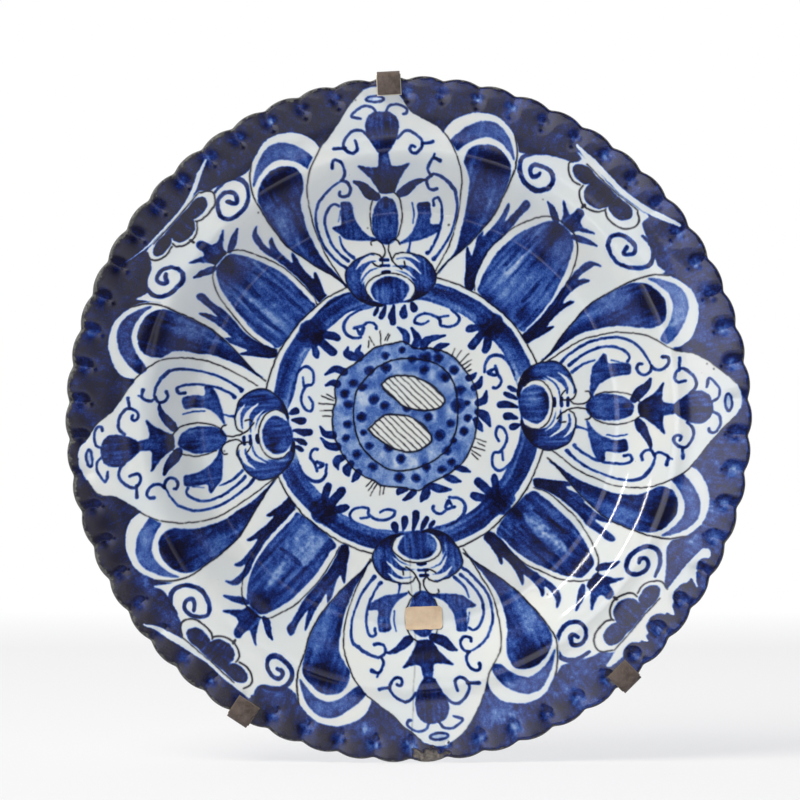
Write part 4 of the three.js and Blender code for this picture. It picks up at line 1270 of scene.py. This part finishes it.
def surface(along, angle):
    """Points of the dish in millimetres, by the place along its section and the angle round it."""
    radius = np.interp(along, LENGTHS, SECTION[:, 0])
    depth = np.interp(along, LENGTHS, SECTION[:, 1])
    front = np.clip((LIP_PLACE - along) / 4 + 0.5, 0, 1)
    wave = scallop(angle)
    strength = ease(RIDGE_START, RIDGE_TOP, radius)
    depth = depth + RIDGE_HEIGHT * (2 * wave - 1) * strength * (0.5 + 0.5 * front)
    depth = depth - DIMPLE_DEPTH * (0.8 + 0.2 * np.cos(angle + 0.8)) * dimple(angle, radius) * front
    radius = radius - SCALLOP_DEPTH * (1 - wave) * strength
    x, z = radius * np.cos(angle), radius * np.sin(angle)
    side = 2 * front - 1
    broad = unevenness(x, z) * (1 - 0.5 * strength)
    fine = 0.012 * cloud(x, z, 6.5, 74)
    depth = depth + (broad + fine) * np.where(front > 0, side, -1) - CHIP_DEPTH * chip(x, z) * front
    return np.stack([x, -depth, z], -1)


def surface_normals(along, angle):
    step = 0.35
    out = surface(along + step, angle) - surface(along - step, angle)
    turn = step / np.maximum(np.interp(along, LENGTHS, SECTION[:, 0]), 4)
    round_it = surface(along, angle + turn) - surface(along, angle - turn)
    normal = np.cross(out, round_it)
    return normal / np.maximum(np.linalg.norm(normal, axis=1, keepdims=True), 1e-9)


# Paint, wear and painted shade on the dish's points

def sampled(layer, x, z):
    """A layer of paint at places between the sheet's points."""
    col = np.clip((x + PAINT_REACH) / PAINT_STEP, 0, PAINT_SIZE - 1.001)
    row = np.clip((z + PAINT_REACH) / PAINT_STEP, 0, PAINT_SIZE - 1.001)
    i, j = row.astype(int), col.astype(int)
    s, t = row - i, col - j
    near = layer[i, j] * (1 - t) + layer[i, j + 1] * t
    far = layer[i + 1, j] * (1 - t) + layer[i + 1, j + 1] * t
    return near * (1 - s) + far * s


COBALT_RANGE = 1.6  # of the thickest paint
OUTLINE_STRENGTH = 2.2
PAINT_WRAP = (1.5, 6)  # how far past the lip the border's paint ends
FOOT_WORN = (3.9, 3.2)  # depths between which the foot ring's glaze is worn off


def painting_at(along, angle, points):
    """Cobalt, outline, wear with painted shade, and bare clay at points of the dish."""
    x, z = points[:, 0], points[:, 2]
    radius = np.hypot(x, z)
    past_lip = along - LIP_PLACE
    blue = sampled(cobalt, x, z)
    dark = np.clip(OUTLINE_STRENGTH * sampled(outline, x, z), 0, 1)
    wrapped = 1 - ease(*PAINT_WRAP, past_lip + 1.6 * cloud(x, z, 5, 81))
    blue = np.where(past_lip > 0, 1.05 * wrapped, blue)
    dark = np.where(past_lip > 0, 0, dark)
    # Worn glaze round the lip, and painted shade there in a band that is wider to the left.
    near_lip = 1 - np.abs(past_lip + 0.8) / (2.5 + 2.4 * np.maximum(np.cos(angle - math.radians(170)), 0))
    wear_and_shade = ease(0.1, 0.6, near_lip + 0.14 * cloud(x, z, 2.2, 82) + 0.1 * cloud(x, z, 0.8, 83))
    brown = ease(160, 167, radius + 1.5 * cloud(x, z, 4, 84))
    brown = brown * (1 - 1.3 * dimple(angle, radius)) * (blue > 0.5)
    brown *= 0.1 + np.exp(-((np.cos(angle - math.radians(235)) - 1) ** 2) / 0.1)
    wear_and_shade = np.clip(np.maximum(wear_and_shade, 0.42 * brown * (past_lip < 2)), 0, 1)
    foot = (past_lip > 8) * ease(*FOOT_WORN, -points[:, 1])
    bare = np.maximum(chip(x, z) * (past_lip < 1), foot)
    return np.stack([blue / COBALT_RANGE, dark, wear_and_shade, bare], 1)


# Meshes of the dish

def nothing_selected():
    """Leaves edit mode and deselects every object."""
    if bpy.context.object and bpy.context.object.mode != "OBJECT":
        bpy.ops.object.mode_set(mode="OBJECT")
    bpy.ops.object.select_all(action="DESELECT")


def only(piece):
    """Selects one piece and makes it the active one."""
    nothing_selected()
    bpy.context.view_layer.objects.active = piece
    piece.select_set(True)


def whole_mesh(*steps):
    """Runs mesh operators, each with its settings, on all of the active piece."""
    bpy.ops.object.mode_set(mode="EDIT")
    bpy.ops.mesh.select_all(action="SELECT")
    for step, settings in steps:
        step(**settings)
    bpy.ops.object.mode_set(mode="OBJECT")


OUTWARDS = (bpy.ops.mesh.normals_make_consistent, {"inside": False})


def circle(radius, depth, count, filling="NOTHING"):
    bpy.ops.mesh.primitive_circle_add(
        vertices=count, radius=radius * MM, location=(0, -depth * MM, 0), rotation=(math.pi / 2, 0, 0),
        fill_type=filling)


def bridged(first, second, rows):
    """A ring of faces between two circles, each given as radius and depth in millimetres and its points."""
    nothing_selected()
    circle(*first)
    piece = bpy.context.object
    bpy.ops.object.transform_apply(location=True, rotation=True, scale=True)
    bpy.ops.object.mode_set(mode="EDIT")
    circle(*second)
    bpy.ops.mesh.select_all(action="SELECT")
    bpy.ops.mesh.bridge_edge_loops(number_cuts=rows - 1, interpolation="LINEAR")
    bpy.ops.object.mode_set(mode="OBJECT")
    return piece


def mesh_points(piece):
    """A piece's points in millimetres."""
    points = np.empty(len(piece.data.vertices) * 3)
    piece.data.vertices.foreach_get("co", points)
    return points.reshape(-1, 3) / MM


def angle_round(points):
    """The angle of each point, turned so that a column of points runs through every notch."""
    return np.arctan2(points[:, 2], points[:, 0]) - np.pi / 2 + np.radians(NOTCH_ANGLE)


def shaped(piece, name, along, angle, material, strips=0):
    """Moves a ring's points onto the dish's surface, and gives them paint, normals and a bake map."""
    points = surface(along, angle)
    mesh = piece.data
    mesh.vertices.foreach_set("co", (points * MM).ravel())
    mesh.update()
    normals = surface_normals(along, angle)
    first = mesh.polygons[len(mesh.polygons) // 2]
    if first.normal.dot(Vector(normals[first.vertices[0]])) < 0:
        only(piece)
        whole_mesh((bpy.ops.mesh.flip_normals, {}))
    mesh.polygons.foreach_set("use_smooth", np.ones(len(mesh.polygons), bool))
    mesh.normals_split_custom_set_from_vertices(normals)
    paint_layer = mesh.color_attributes.new("painting", "FLOAT_COLOR", "POINT")
    paint_layer.data.foreach_set("color", painting_at(along, angle, points).ravel())
    bake_map(mesh, points, angle, along, strips)
    mesh.materials.clear()
    mesh.materials.append(material)
    piece.name = mesh.name = name
    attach(piece, "dish_and_hanger")
    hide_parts("dish")
    return piece


def bake_map(mesh, points, angle, along, strips):
    """A flat map seen from the front, or for the lip a map of strips laid one above another."""
    corners = np.empty(len(mesh.loops), int)
    mesh.loops.foreach_get("vertex_index", corners)
    while mesh.uv_layers:
        mesh.uv_layers.remove(mesh.uv_layers[0])
    layer = mesh.uv_layers.new(name="OFBake")
    if not strips:
        reach = np.abs(points[:, [0, 2]]).max() * 1.01
        flat = points[:, [0, 2]][corners] / (2 * reach) + 0.5
    else:
        share = (angle[corners] / (2 * np.pi)) % 1
        starts = np.empty(len(mesh.polygons), int)
        totals = np.empty(len(mesh.polygons), int)
        mesh.polygons.foreach_get("loop_start", starts)
        mesh.polygons.foreach_get("loop_total", totals)
        face = np.repeat(np.arange(len(starts)), totals)
        first = share[starts][face]
        share = share + np.round(first - share)
        middle = np.add.reduceat(share, starts) / totals
        strip = np.floor(middle * strips)[face]
        up = (along[corners] - along.min()) / (along.max() - along.min())
        flat = np.stack(
            [0.01 + 0.98 * (share * strips - strip), (strip % strips + 0.04 + 0.92 * up) / strips], 1)
    layer.data.foreach_set("uv", flat.astype(np.float32).ravel())


def dish_ring(name, material, start, end, columns, pitch, strips=0):
    """A ring of the dish between two places along its section."""
    length = end - start
    ends = [np.interp(place, LENGTHS, SECTION[:, k]) for place in (start, end) for k in (0, 1)]
    rows = max(int(round(length / pitch)), 1)
    piece = bridged((ends[0], ends[1], columns), (ends[2], ends[3], columns), rows)
    points = mesh_points(piece)
    run = np.array([ends[2] - ends[0], ends[3] - ends[1]])
    from_start = np.stack([np.hypot(points[:, 0], points[:, 2]) - ends[0], -points[:, 1] - ends[1]], 1)
    t = np.round(from_start @ run / (run @ run) * rows) / rows
    return shaped(piece, name, start + length * t, angle_round(points), material, strips)


FEWEST_COLUMNS = 12


def dish_middle(name, material, radius, columns, back=False):
    """The round middle of the front or back: rings of faces with half as many columns each time."""
    rings = []
    depth = FOOT[-1][1] if back else WELL_FRONT
    count = columns
    pitch = 2 * np.pi * radius / columns
    outer = radius
    while count >= FEWEST_COLUMNS:
        inner = outer / 2
        rows = max(int(round((outer - inner) / pitch)), 1)
        rings.append(bridged((outer, depth, count), (inner, depth, count), rows))
        outer = inner - min(pitch, inner / 3)
        if count // 2 >= FEWEST_COLUMNS:
            rings.append(bridged((inner, depth, count), (outer, depth, count // 2), 1))
        count //= 2
    nothing_selected()
    circle(inner, depth, count * 2, "TRIFAN")
    piece = bpy.context.object
    bpy.ops.object.transform_apply(location=True, rotation=True, scale=True)
    for ring in rings:
        ring.select_set(True)
    bpy.ops.object.join()
    whole_mesh((bpy.ops.mesh.remove_doubles, {"threshold": 0.02 * MM}), OUTWARDS)
    points = mesh_points(piece)
    from_middle = np.hypot(points[:, 0], points[:, 2])
    along = LENGTHS[-1] - from_middle if back else from_middle
    return shaped(piece, name, along, angle_round(points), material)


# Each ring of the front: name, inner and outer radius, columns of points to a lobe
FRONT_RINGS = (
    ("dish_well", 48, 78, 20), ("dish_well_edge", 78, 102, 26), ("dish_wall", 102, 121.5, 31),
    ("dish_shoulder", 121.5, 140, 33), ("dish_rim", 140, 156, 40), ("dish_lobes", 156, 169, 43),
)
FRONT_PITCH = 0.43  # between rows of points
LIP_PITCH = 0.5
BACK_PITCH = 1.4
MIDDLE_RADIUS = 48
MIDDLE_COLUMNS = 768
LIP_START = 169
LIP_STRIPS = 20  # of its bake map
BACK_MIDDLE = 56
BACK_MIDDLE_COLUMNS = 192


def dish(material):
    dish_middle("dish_medallion", material, MIDDLE_RADIUS, MIDDLE_COLUMNS)
    for name, inner, outer, columns in FRONT_RINGS:
        dish_ring(name, material, place_at(inner), place_at(outer), columns * LOBES, FRONT_PITCH)
    lip_end = place_at(LIP_START, back=True)
    dish_ring("dish_lip", material, place_at(LIP_START), lip_end, 30 * LOBES, LIP_PITCH, LIP_STRIPS)
    dish_ring("dish_back", material, lip_end, LENGTHS[-1] - BACK_MIDDLE, 8 * LOBES, BACK_PITCH)
    dish_middle("dish_back_middle", material, BACK_MIDDLE, BACK_MIDDLE_COLUMNS, back=True)


# Materials

def linear(red, green, blue):
    """A colour given as it looks on a screen, 0 to 255, as the shader's numbers."""
    parts = [channel / 255 for channel in (red, green, blue)]
    return tuple(c / 12.92 if c <= 0.04045 else ((c + 0.055) / 1.055) ** 2.4 for c in parts) + (1.0,)


class Nodes:
    """A tree of nodes, with short ways to add and join them."""

    def __init__(self, tree):
        self.tree = tree

    def put(self, value, socket):
        if isinstance(value, bpy.types.NodeSocket):
            self.tree.links.new(value, socket)
        else:
            socket.default_value = value

    def add(self, kind, inputs=(), **settings):
        node = self.tree.nodes.new(kind)
        for key, value in settings.items():
            setattr(node, key, value)
        for key, value in dict(inputs).items():
            self.put(value, node.inputs[key])
        return node

    def math(self, operation, first, second=0.0):
        node = self.add("ShaderNodeMath", operation=operation)
        self.put(first, node.inputs[0])
        self.put(second, node.inputs[1])
        return node.outputs[0]

    def scaled(self, value, low, high, new_low=0.0, new_high=1.0):
        inputs = {"Value": value, "From Min": low, "From Max": high, "To Min": new_low, "To Max": new_high}
        return self.add("ShaderNodeMapRange", inputs).outputs["Result"]

    def ramp(self, factor, stops):
        node = self.add("ShaderNodeValToRGB", {"Fac": factor})
        elements = node.color_ramp.elements
        while len(elements) < len(stops):
            elements.new(0.5)
        for element, (position, colour) in zip(elements, stops):
            element.position = position
            element.color = colour
        return node.outputs["Color"]

    def mixed(self, factor, first, second, blend="MIX", **settings):
        node = self.add("ShaderNodeMix", data_type="RGBA", blend_type=blend, **settings)
        for value, socket in ((factor, 0), (first, 6), (second, 7)):  # a mix node's sockets for colours
            self.put(value, node.inputs[socket])
        return node.outputs[2]

    def mixed_shader(self, share, first, second):
        return self.add("ShaderNodeMixShader", {0: share, 1: first, 2: second}).outputs[0]

    def ray_kind(self, *kinds):
        """1 for rays of any of these kinds."""
        outputs = self.add("ShaderNodeLightPath").outputs
        total = outputs[kinds[0]]
        for kind in kinds[1:]:
            total = self.math("MAXIMUM", total, outputs[kind])
        return total


class Finish(Nodes):
    """A material's nodes."""

    def __init__(self, name):
        self.material = bpy.data.materials.new(name)
        self.material.use_nodes = True
        super().__init__(self.material.node_tree)
        self.shader = self.tree.nodes["Principled BSDF"]
        self.place = self.add("ShaderNodeTexCoord").outputs["Object"]

    def surface(self, **inputs):
        for key, value in inputs.items():
            self.put(value, self.shader.inputs[key.replace("_", " ")])

    def noise(self, size, detail=3.0, rough=0.5, stretch=None):
        """Noise from about 0.3 to 0.7, with blotches of a size in millimetres."""
        place = self.place
        if stretch:
            place = self.add("ShaderNodeMapping", {"Vector": place, "Scale": stretch}).outputs["Vector"]
        inputs = {"Vector": place, "Scale": 1 / (size * MM), "Detail": detail, "Roughness": rough}
        return self.add("ShaderNodeTexNoise", inputs).outputs["Fac"]

    def bump(self, height, distance):
        """Relief in the finish, with its full height in millimetres."""
        return self.add("ShaderNodeBump", {"Height": height, "Distance": distance * MM}).outputs["Normal"]


# The cobalt's colour from bare glaze to the thickest paint, as it looks on a screen
COBALT_COLOURS = (
    (0, (226, 231, 234)), (0.15, (184, 200, 226)), (0.3, (134, 162, 212)), (0.5, (76, 111, 183)),
    (0.7, (42, 74, 154)), (0.85, (26, 50, 124)), (1.0, (17, 32, 92)), (1.2, (15, 21, 60)), (1.5, (16, 14, 36))
)


def painted_glaze():
    finish = Finish("painted_tin_glaze")
    painting = finish.add("ShaderNodeAttribute", attribute_type="GEOMETRY", attribute_name="painting")
    parts = finish.add("ShaderNodeSeparateColor", {"Color": painting.outputs["Color"]}).outputs
    blue, dark, wear_and_shade, bare = parts[0], parts[1], parts[2], painting.outputs["Alpha"]
    grains = finish.scaled(finish.noise(0.6, 3, 0.7), 0.3, 0.7, -0.24, 0.24)
    pools = finish.scaled(finish.noise(5, 2), 0.3, 0.7, -0.06, 0.06)
    mottling = finish.math("ADD", finish.math("ADD", grains, pools), 1.0)
    stops = [(depth / COBALT_RANGE, linear(*colour)) for depth, colour in COBALT_COLOURS]
    colour = finish.ramp(finish.math("MULTIPLY", blue, mottling), stops)
    tint = finish.ramp(finish.noise(45, 3), [(0.35, linear(246, 250, 252)), (0.65, linear(255, 254, 250))])
    colour = finish.mixed(1.0, colour, tint, "MULTIPLY")
    colour = finish.mixed(finish.math("MULTIPLY", dark, 0.98), colour, linear(20, 21, 44))
    cells = finish.add("ShaderNodeTexVoronoi", {"Vector": finish.place, "Scale": 1 / (9 * MM)})
    pinhole = finish.scaled(cells.outputs["Distance"], 0.035, 0.02)
    colour = finish.mixed(finish.math("MULTIPLY", pinhole, 0.55), colour, linear(110, 96, 84))
    blotches = finish.scaled(finish.noise(1.6, 4, 0.6), 0.3, 0.7, -0.2, 0.2)
    # Colours of rubbed glaze, which also paint the shade round the lip.
    rubbed_and_shaded = finish.ramp(finish.math("ADD", wear_and_shade, blotches), [
        (0.3, linear(36, 29, 34)), (0.6, linear(42, 41, 46)), (0.88, linear(56, 58, 58)),
        (1.0, linear(92, 94, 92))])
    colour = finish.mixed(finish.scaled(wear_and_shade, 0, 0.7), colour, rubbed_and_shaded)
    clay = finish.ramp(finish.noise(1.2, 4), [(0.3, linear(84, 80, 78)), (0.7, linear(138, 132, 126))])
    colour = finish.mixed(bare, colour, clay)
    rough = finish.scaled(finish.noise(30, 3), 0.3, 0.7, 0.06, 0.11)
    rough = finish.math("ADD", rough, finish.math("MULTIPLY", wear_and_shade, 0.22))
    rough = finish.math("MAXIMUM", rough, finish.math("MULTIPLY", bare, 0.85))
    ripple = finish.math(
        "ADD", finish.math("MULTIPLY", finish.noise(7, 2), 0.25), finish.math("MULTIPLY", blue, 0.10))
    ripple = finish.math("ADD", ripple, finish.math("MULTIPLY", finish.noise(1.4, 2), 0.06))
    ripple = finish.math("SUBTRACT", ripple, finish.math("MULTIPLY", pinhole, 0.3))
    finish.surface(Base_Color=colour, Roughness=rough, Normal=finish.bump(ripple, 0.12), IOR=1.6)
    return finish.material


def label_paper():
    finish = Finish("label_paper")
    stain = finish.ramp(
        finish.noise(5, 4, 0.6),
        [(0.3, linear(204, 180, 152)), (0.5, linear(216, 194, 168)), (0.7, linear(223, 203, 175))])
    fibres = finish.noise(0.6, 3, 0.7, (1, 1, 3))
    colour = finish.mixed(finish.scaled(fibres, 0.5, 0.75, 0, 0.35), stain, linear(196, 166, 128))
    finish.surface(
        Base_Color=colour, Roughness=finish.scaled(fibres, 0.3, 0.7, 0.72, 0.9),
        Normal=finish.bump(fibres, 0.06))
    return finish.material


def brown_lacquer():
    finish = Finish("worn_brown_lacquer")
    mottled = finish.noise(3.5, 5, 0.65)
    colour = finish.ramp(
        mottled, [(0.3, linear(74, 64, 58)), (0.5, linear(98, 87, 81)), (0.7, linear(118, 106, 99))])
    scratches = finish.noise(0.5, 3, 0.6, (1, 1, 0.12))
    colour = finish.mixed(finish.scaled(scratches, 0.6, 0.72, 0, 0.6), colour, linear(150, 130, 112))
    finish.surface(
        Base_Color=colour, Metallic=0.25, Roughness=finish.scaled(mottled, 0.3, 0.7, 0.38, 0.6),
        Normal=finish.bump(mottled, 0.08))
    return finish.material


def tarnished_brass():
    finish = Finish("tarnished_brass")
    mottled = finish.noise(2.2, 5, 0.65)
    colour = finish.ramp(
        mottled, [(0.3, linear(112, 88, 50)), (0.5, linear(160, 132, 80)), (0.7, linear(186, 158, 102))])
    finish.surface(
        Base_Color=colour, Metallic=0.9, Roughness=finish.scaled(mottled, 0.3, 0.7, 0.5, 0.28),
        Normal=finish.bump(mottled, 0.03))
    return finish.material


def pale_felt():
    finish = Finish("pale_felt")
    fibres = finish.noise(0.35, 4, 0.7)
    colour = finish.ramp(fibres, [(0.3, linear(196, 188, 170)), (0.7, linear(226, 220, 204))])
    # Darker towards the bottom, from 50 mm above the dish's middle to 50 mm below it.
    height = finish.add("ShaderNodeSeparateXYZ", {"Vector": finish.place}).outputs["Z"]
    darker_below = finish.scaled(height, 0.05, -0.05)
    colour = finish.mixed(finish.math("MULTIPLY", darker_below, 0.85), colour, linear(92, 78, 66))
    finish.surface(Base_Color=colour, Roughness=0.95, Normal=finish.bump(fibres, 0.1))
    return finish.material


# Paper label

LABEL_SIZE = (18.9, 11.8)
LABEL_PLACE = (7.7, -101.8)
LABEL_TURN = 2  # degrees
LABEL_GAP = 0.2  # of its paste, over the glaze
LABEL_CORNER = 1.2
LABEL_THICKNESS = 0.25
LABEL_CURL = 0.25


def paper_label(material):
    nothing_selected()
    bpy.ops.mesh.primitive_grid_add(x_subdivisions=64, y_subdivisions=40, size=1)
    piece = bpy.context.object
    points = mesh_points(piece) * MM
    u, v = points[:, 0] * LABEL_SIZE[0], points[:, 1] * LABEL_SIZE[1]
    past = np.abs(u) - LABEL_SIZE[0] / 2 + np.abs(v) - LABEL_SIZE[1] / 2 + LABEL_CORNER
    pull = np.maximum(past, 0) / 2
    u, v = u - np.sign(u) * pull, v - np.sign(v) * pull
    edge = np.maximum(np.abs(u) / LABEL_SIZE[0], np.abs(v) / LABEL_SIZE[1]) * 2
    u = u + 0.09 * cloud(u * 3, v, 2.5, 91) * edge**6
    v = v + 0.09 * cloud(u, v * 3, 2.5, 92) * edge**6
    a = np.radians(LABEL_TURN)
    x = LABEL_PLACE[0] + u * np.cos(a) - v * np.sin(a)
    z = LABEL_PLACE[1] + u * np.sin(a) + v * np.cos(a)
    lift = LABEL_CURL * ease(0.55, 1.0, (np.abs(u) / LABEL_SIZE[0] + np.abs(v) / LABEL_SIZE[1])) ** 2
    depth = front_depth(np.hypot(x, z)) + LABEL_GAP + unevenness(x, z) + lift + 0.03 * cloud(x, z, 2.6, 93)
    piece.data.vertices.foreach_set("co", (np.stack([x, -depth, z], 1) * MM).ravel())
    thicken = piece.modifiers.new("thickness", "SOLIDIFY")
    thicken.thickness = LABEL_THICKNESS * MM
    thicken.offset = 1
    bpy.ops.object.modifier_apply(modifier="thickness")
    whole_mesh(OUTWARDS)
    bpy.ops.object.shade_smooth_by_angle(angle=math.radians(40))
    dress(piece, "paper_label_sheet", "paper_label", material)


# Hanger

def body_of(node):
    """The body of the record that a node belongs to."""
    for body, nodes in frame["record"]["behaviour"]["bodies"].items():
        if node in nodes:
            return body
    raise ValueError(node)


def dress(piece, name, node, material):
    piece.name = piece.data.name = name
    piece.data.materials.clear()
    piece.data.materials.append(material)
    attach(piece, body_of(node))
    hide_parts(node)


def merged_copy(node):
    """A copy of a node with its loose triangles joined and its flat faces cleared."""
    nothing_selected()
    piece = frame["nodes"][node].copy()
    piece.data = frame["nodes"][node].data.copy()
    bpy.context.scene.collection.objects.link(piece)
    piece.parent = None
    only(piece)
    whole_mesh((bpy.ops.mesh.remove_doubles, {"threshold": 0.002 * MM}), OUTWARDS,
               (bpy.ops.mesh.dissolve_limited, {"angle_limit": math.radians(1)}))
    return piece


def softened(piece, width):
    """Rounds the edges of a piece that turn by more than a small angle."""
    rounding = piece.modifiers.new("rounding", "BEVEL")
    rounding.width = width * MM
    rounding.segments = 2
    rounding.limit_method = "ANGLE"
    rounding.angle_limit = math.radians(25)
    rounding.use_clamp_overlap = True
    bpy.ops.object.modifier_apply(modifier="rounding")
    bpy.ops.object.shade_smooth_by_angle(angle=math.radians(30))


STRIPS = ("hanger_spine", "top_hook", "lower_left_arm", "lower_right_arm")
RIVETS = ("rivet_left_inner", "rivet_left_outer", "rivet_right_inner", "rivet_right_outer")
FASTENERS = (
    "clamp_screw_lower", "clamp_screw_upper", "washer_lower", "washer_upper", "wing_nut_lower",
    "wing_nut_upper")
LININGS = ("hook_lining_top", "hook_lining_left", "hook_lining_right")


def hanger():
    lacquer, brass, felt = brown_lacquer(), tarnished_brass(), pale_felt()
    groups = ((STRIPS, 0.22, lacquer, "hanger_strip"), (RIVETS, 0.25, lacquer, "hanger_strip"),
              (FASTENERS, 0.2, brass, "fastener_brass"), (LININGS, 0.12, felt, "hook_lining"))
    for nodes, width, material, slot in groups:
        for node in nodes:
            piece = merged_copy(node)
            softened(piece, width)
            dress(piece, node + "_finished", node, material)


# Stage, lights and camera

FLOOR_HEIGHT = -RIM_RADIUS * MM - 0.0001
FLOOR_FRONT = -1.5
FLOOR_BACK = 1.24
FLOOR_WIDTH = 5
FLOOR_FADE = 0.45  # over which the floor's far end turns into the white of the wall
FLOOR_COLOUR = (238, 240, 245)
FLOOR_GLOW = (0.965, 0.968, 0.985, 1)
GLOW_SHARE = 0.72  # of what the camera sees of the floor
# How bright the glaze mirrors the table, from 1.5 m before the dish, 0, to just behind it, 1
FLOOR_MIRRORED = ((0, 0.75), (0.25, 0.75), (0.42, 0.1), (0.6, 0.1), (0.8, 0.5), (1, 0.5))
MIRRORED_BLUE = 1.13
MIRRORED_END = 0.3


def floor():
    nothing_selected()
    bpy.ops.mesh.primitive_grid_add(x_subdivisions=4, y_subdivisions=4, size=1)
    piece = bpy.context.object
    piece.name = "floor"
    points = mesh_points(piece) * MM
    y = FLOOR_FRONT + (points[:, 1] + 0.5) * (FLOOR_BACK - FLOOR_FRONT)
    places = np.stack([points[:, 0] * FLOOR_WIDTH, y, np.full(len(points), FLOOR_HEIGHT)], 1)
    piece.data.vertices.foreach_set("co", places.ravel())
    finish = Finish("pale_floor")
    finish.surface(Base_Color=linear(*FLOOR_COLOUR), Roughness=0.9, Specular_IOR_Level=0.2)
    distance = finish.add("ShaderNodeSeparateXYZ", {"Vector": finish.place}).outputs["Y"]

    def glowing(colour):
        return finish.add("ShaderNodeEmission", {"Color": colour}).outputs[0]

    seen_ray = finish.ray_kind("Is Camera Ray", "Is Transmission Ray")
    share = finish.math("MULTIPLY", seen_ray, GLOW_SHARE)
    seen = finish.mixed_shader(share, finish.shader.outputs[0], glowing(FLOOR_GLOW))
    far_share = finish.scaled(distance, FLOOR_BACK - FLOOR_FADE, FLOOR_BACK)
    faded = finish.mixed_shader(finish.math("MULTIPLY", far_share, seen_ray), seen, glowing((1, 1, 1, 1)))
    far_front = finish.scaled(distance, FLOOR_FRONT, MIRRORED_END)
    table = finish.ramp(
        far_front, [(at, (tone, tone, MIRRORED_BLUE * tone, 1)) for at, tone in FLOOR_MIRRORED])
    mirrored = finish.mixed_shader(finish.ray_kind("Is Glossy Ray"), faded, glowing(table))
    finish.put(mirrored, finish.tree.nodes["Material Output"].inputs["Surface"])
    piece.data.materials.append(finish.material)


# Soft light from before the dish and from behind it, which only its back sees
ROOM_LIGHT = (0.12, 0.12, 0.12, 1)
BACK_LIGHT = (0.5, 0.5, 0.5, 1)
# What the glaze mirrors, by direction from beside the dish, 0, to straight behind the camera, 1: the room,
# and a pale veil of it that is brighter to the left and below
ROOM = ((0.0, 1.0), (0.12, 1.0), (0.22, 0.08), (0.98, 0.08), (0.993, 0.02))
VEIL = ((0.8, 0.0), (0.89, 0.95), (0.984, 0.95), (0.998, 0.0))
ROOM_TONE = (0.88, 0.88, 1.0)
ROOM_TILT = (-2.6, -0.7)
VEIL_MIDDLE = 1.22
NONE = (0, 0, 0, 1)
WHITE = (1, 1, 1, 1)


def world_light():
    world = bpy.data.worlds.new("room")
    bpy.context.scene.world = world
    world.use_nodes = True
    room = Nodes(world.node_tree)
    place = room.add("ShaderNodeTexCoord").outputs["Generated"]
    direction = room.add("ShaderNodeSeparateXYZ", {"Vector": place}).outputs
    into_room = room.math("MULTIPLY", direction["Y"], -1.0)

    def toned_room(stops):
        return room.ramp(
            into_room, [(at, tuple(glow * part for part in ROOM_TONE) + (1,)) for at, glow in stops])

    tilt = room.math(
        "ADD", room.math("MULTIPLY", direction["X"], ROOM_TILT[0]),
        room.math("MULTIPLY", direction["Z"], ROOM_TILT[1]))
    veil = room.mixed(room.math("ADD", tilt, VEIL_MIDDLE), NONE, toned_room(VEIL), clamp_factor=False)
    mirrored = room.mixed(1.0, toned_room(ROOM), veil, "ADD")
    soft = room.mixed(room.math("MULTIPLY", direction["Y"], 2.0), ROOM_LIGHT, BACK_LIGHT)
    lit = room.mixed(room.ray_kind("Is Glossy Ray"), soft, mirrored)
    seen = room.mixed(room.ray_kind("Is Camera Ray", "Is Transmission Ray"), lit, WHITE)
    room.put(seen, world.node_tree.nodes["Background"].inputs["Color"])


DISH_MIDDLE = (0, 0, 0)
KEY = {"place": (-1.43, -1.315, 2.287), "size": (1.9, 1.9), "power": 101, "colour": (1.0, 0.94, 0.84)}
FILL = {"place": (1.3, -1.966, -0.5), "size": (1.2, 1.2), "power": 36, "colour": (0.74, 0.82, 1.0)}


def lamp(name, place, size, power, colour=(1, 1, 1), mirrored=False):
    """A lamp that lights the dish and isn't mirrored in it, or the other way round."""
    light = bpy.data.lights.new(name, "AREA")
    light.shape = "RECTANGLE"
    light.size, light.size_y = size
    light.energy = power
    light.color = colour
    lamp_object = bpy.data.objects.new(name, light)
    bpy.context.scene.collection.objects.link(lamp_object)
    lamp_object.location = place
    aim = Vector(DISH_MIDDLE) - Vector(place)
    lamp_object.rotation_euler = aim.to_track_quat("-Z", "Y").to_euler()
    lamp_object.visible_glossy = mirrored
    lamp_object.visible_diffuse = not mirrored
    return lamp_object


# A long thin lamp off to the upper left, whose mirrored lines lie on the lower right of the dish's wall
STRIP_BEARING = math.radians(147)
STRIP_OFF_AXIS = math.radians(69)
STRIP_DISTANCE = 1.5
STRIP_SIZE = (0.95, 0.035)
STRIP_POWER = 3.6


def strip():
    """The strip faces the dish, with its long side running round it."""
    bearing, off = STRIP_BEARING, STRIP_OFF_AXIS
    toward = (math.sin(off) * math.cos(bearing), -math.cos(off), math.sin(off) * math.sin(bearing))
    place = [STRIP_DISTANCE * part for part in toward]
    lamp_object = lamp("window_strip", place, STRIP_SIZE, STRIP_POWER, mirrored=True)
    toward_lamp = Vector(place).normalized()
    round_dish = Vector((-math.sin(bearing), 0, math.cos(bearing)))
    across = toward_lamp.cross(round_dish)
    lamp_object.rotation_euler = Matrix((round_dish, across, toward_lamp)).transposed().to_euler()


def lights():
    lamp("key", **KEY)
    lamp("fill", **FILL)
    strip()


CAMERA_PLACE = (-0.00441, -1.842, 0.00963)
LENS = 160.7
SENSOR = 36
FAR_END = 50


def camera():
    data = bpy.data.cameras.new("camera")
    data.lens = LENS
    data.sensor_width = SENSOR
    data.clip_end = FAR_END
    camera_object = bpy.data.objects.new("camera", data)
    bpy.context.scene.collection.objects.link(camera_object)
    camera_object.location = CAMERA_PLACE
    camera_object.rotation_euler = (math.pi / 2, 0, 0)
    bpy.context.scene.camera = camera_object


camera()
bpy.context.scene.view_settings.view_transform = "Standard"
cobalt, outline = paint()
dish(painted_glaze())
paper_label(label_paper())
hanger()
floor()
world_light()
lights()
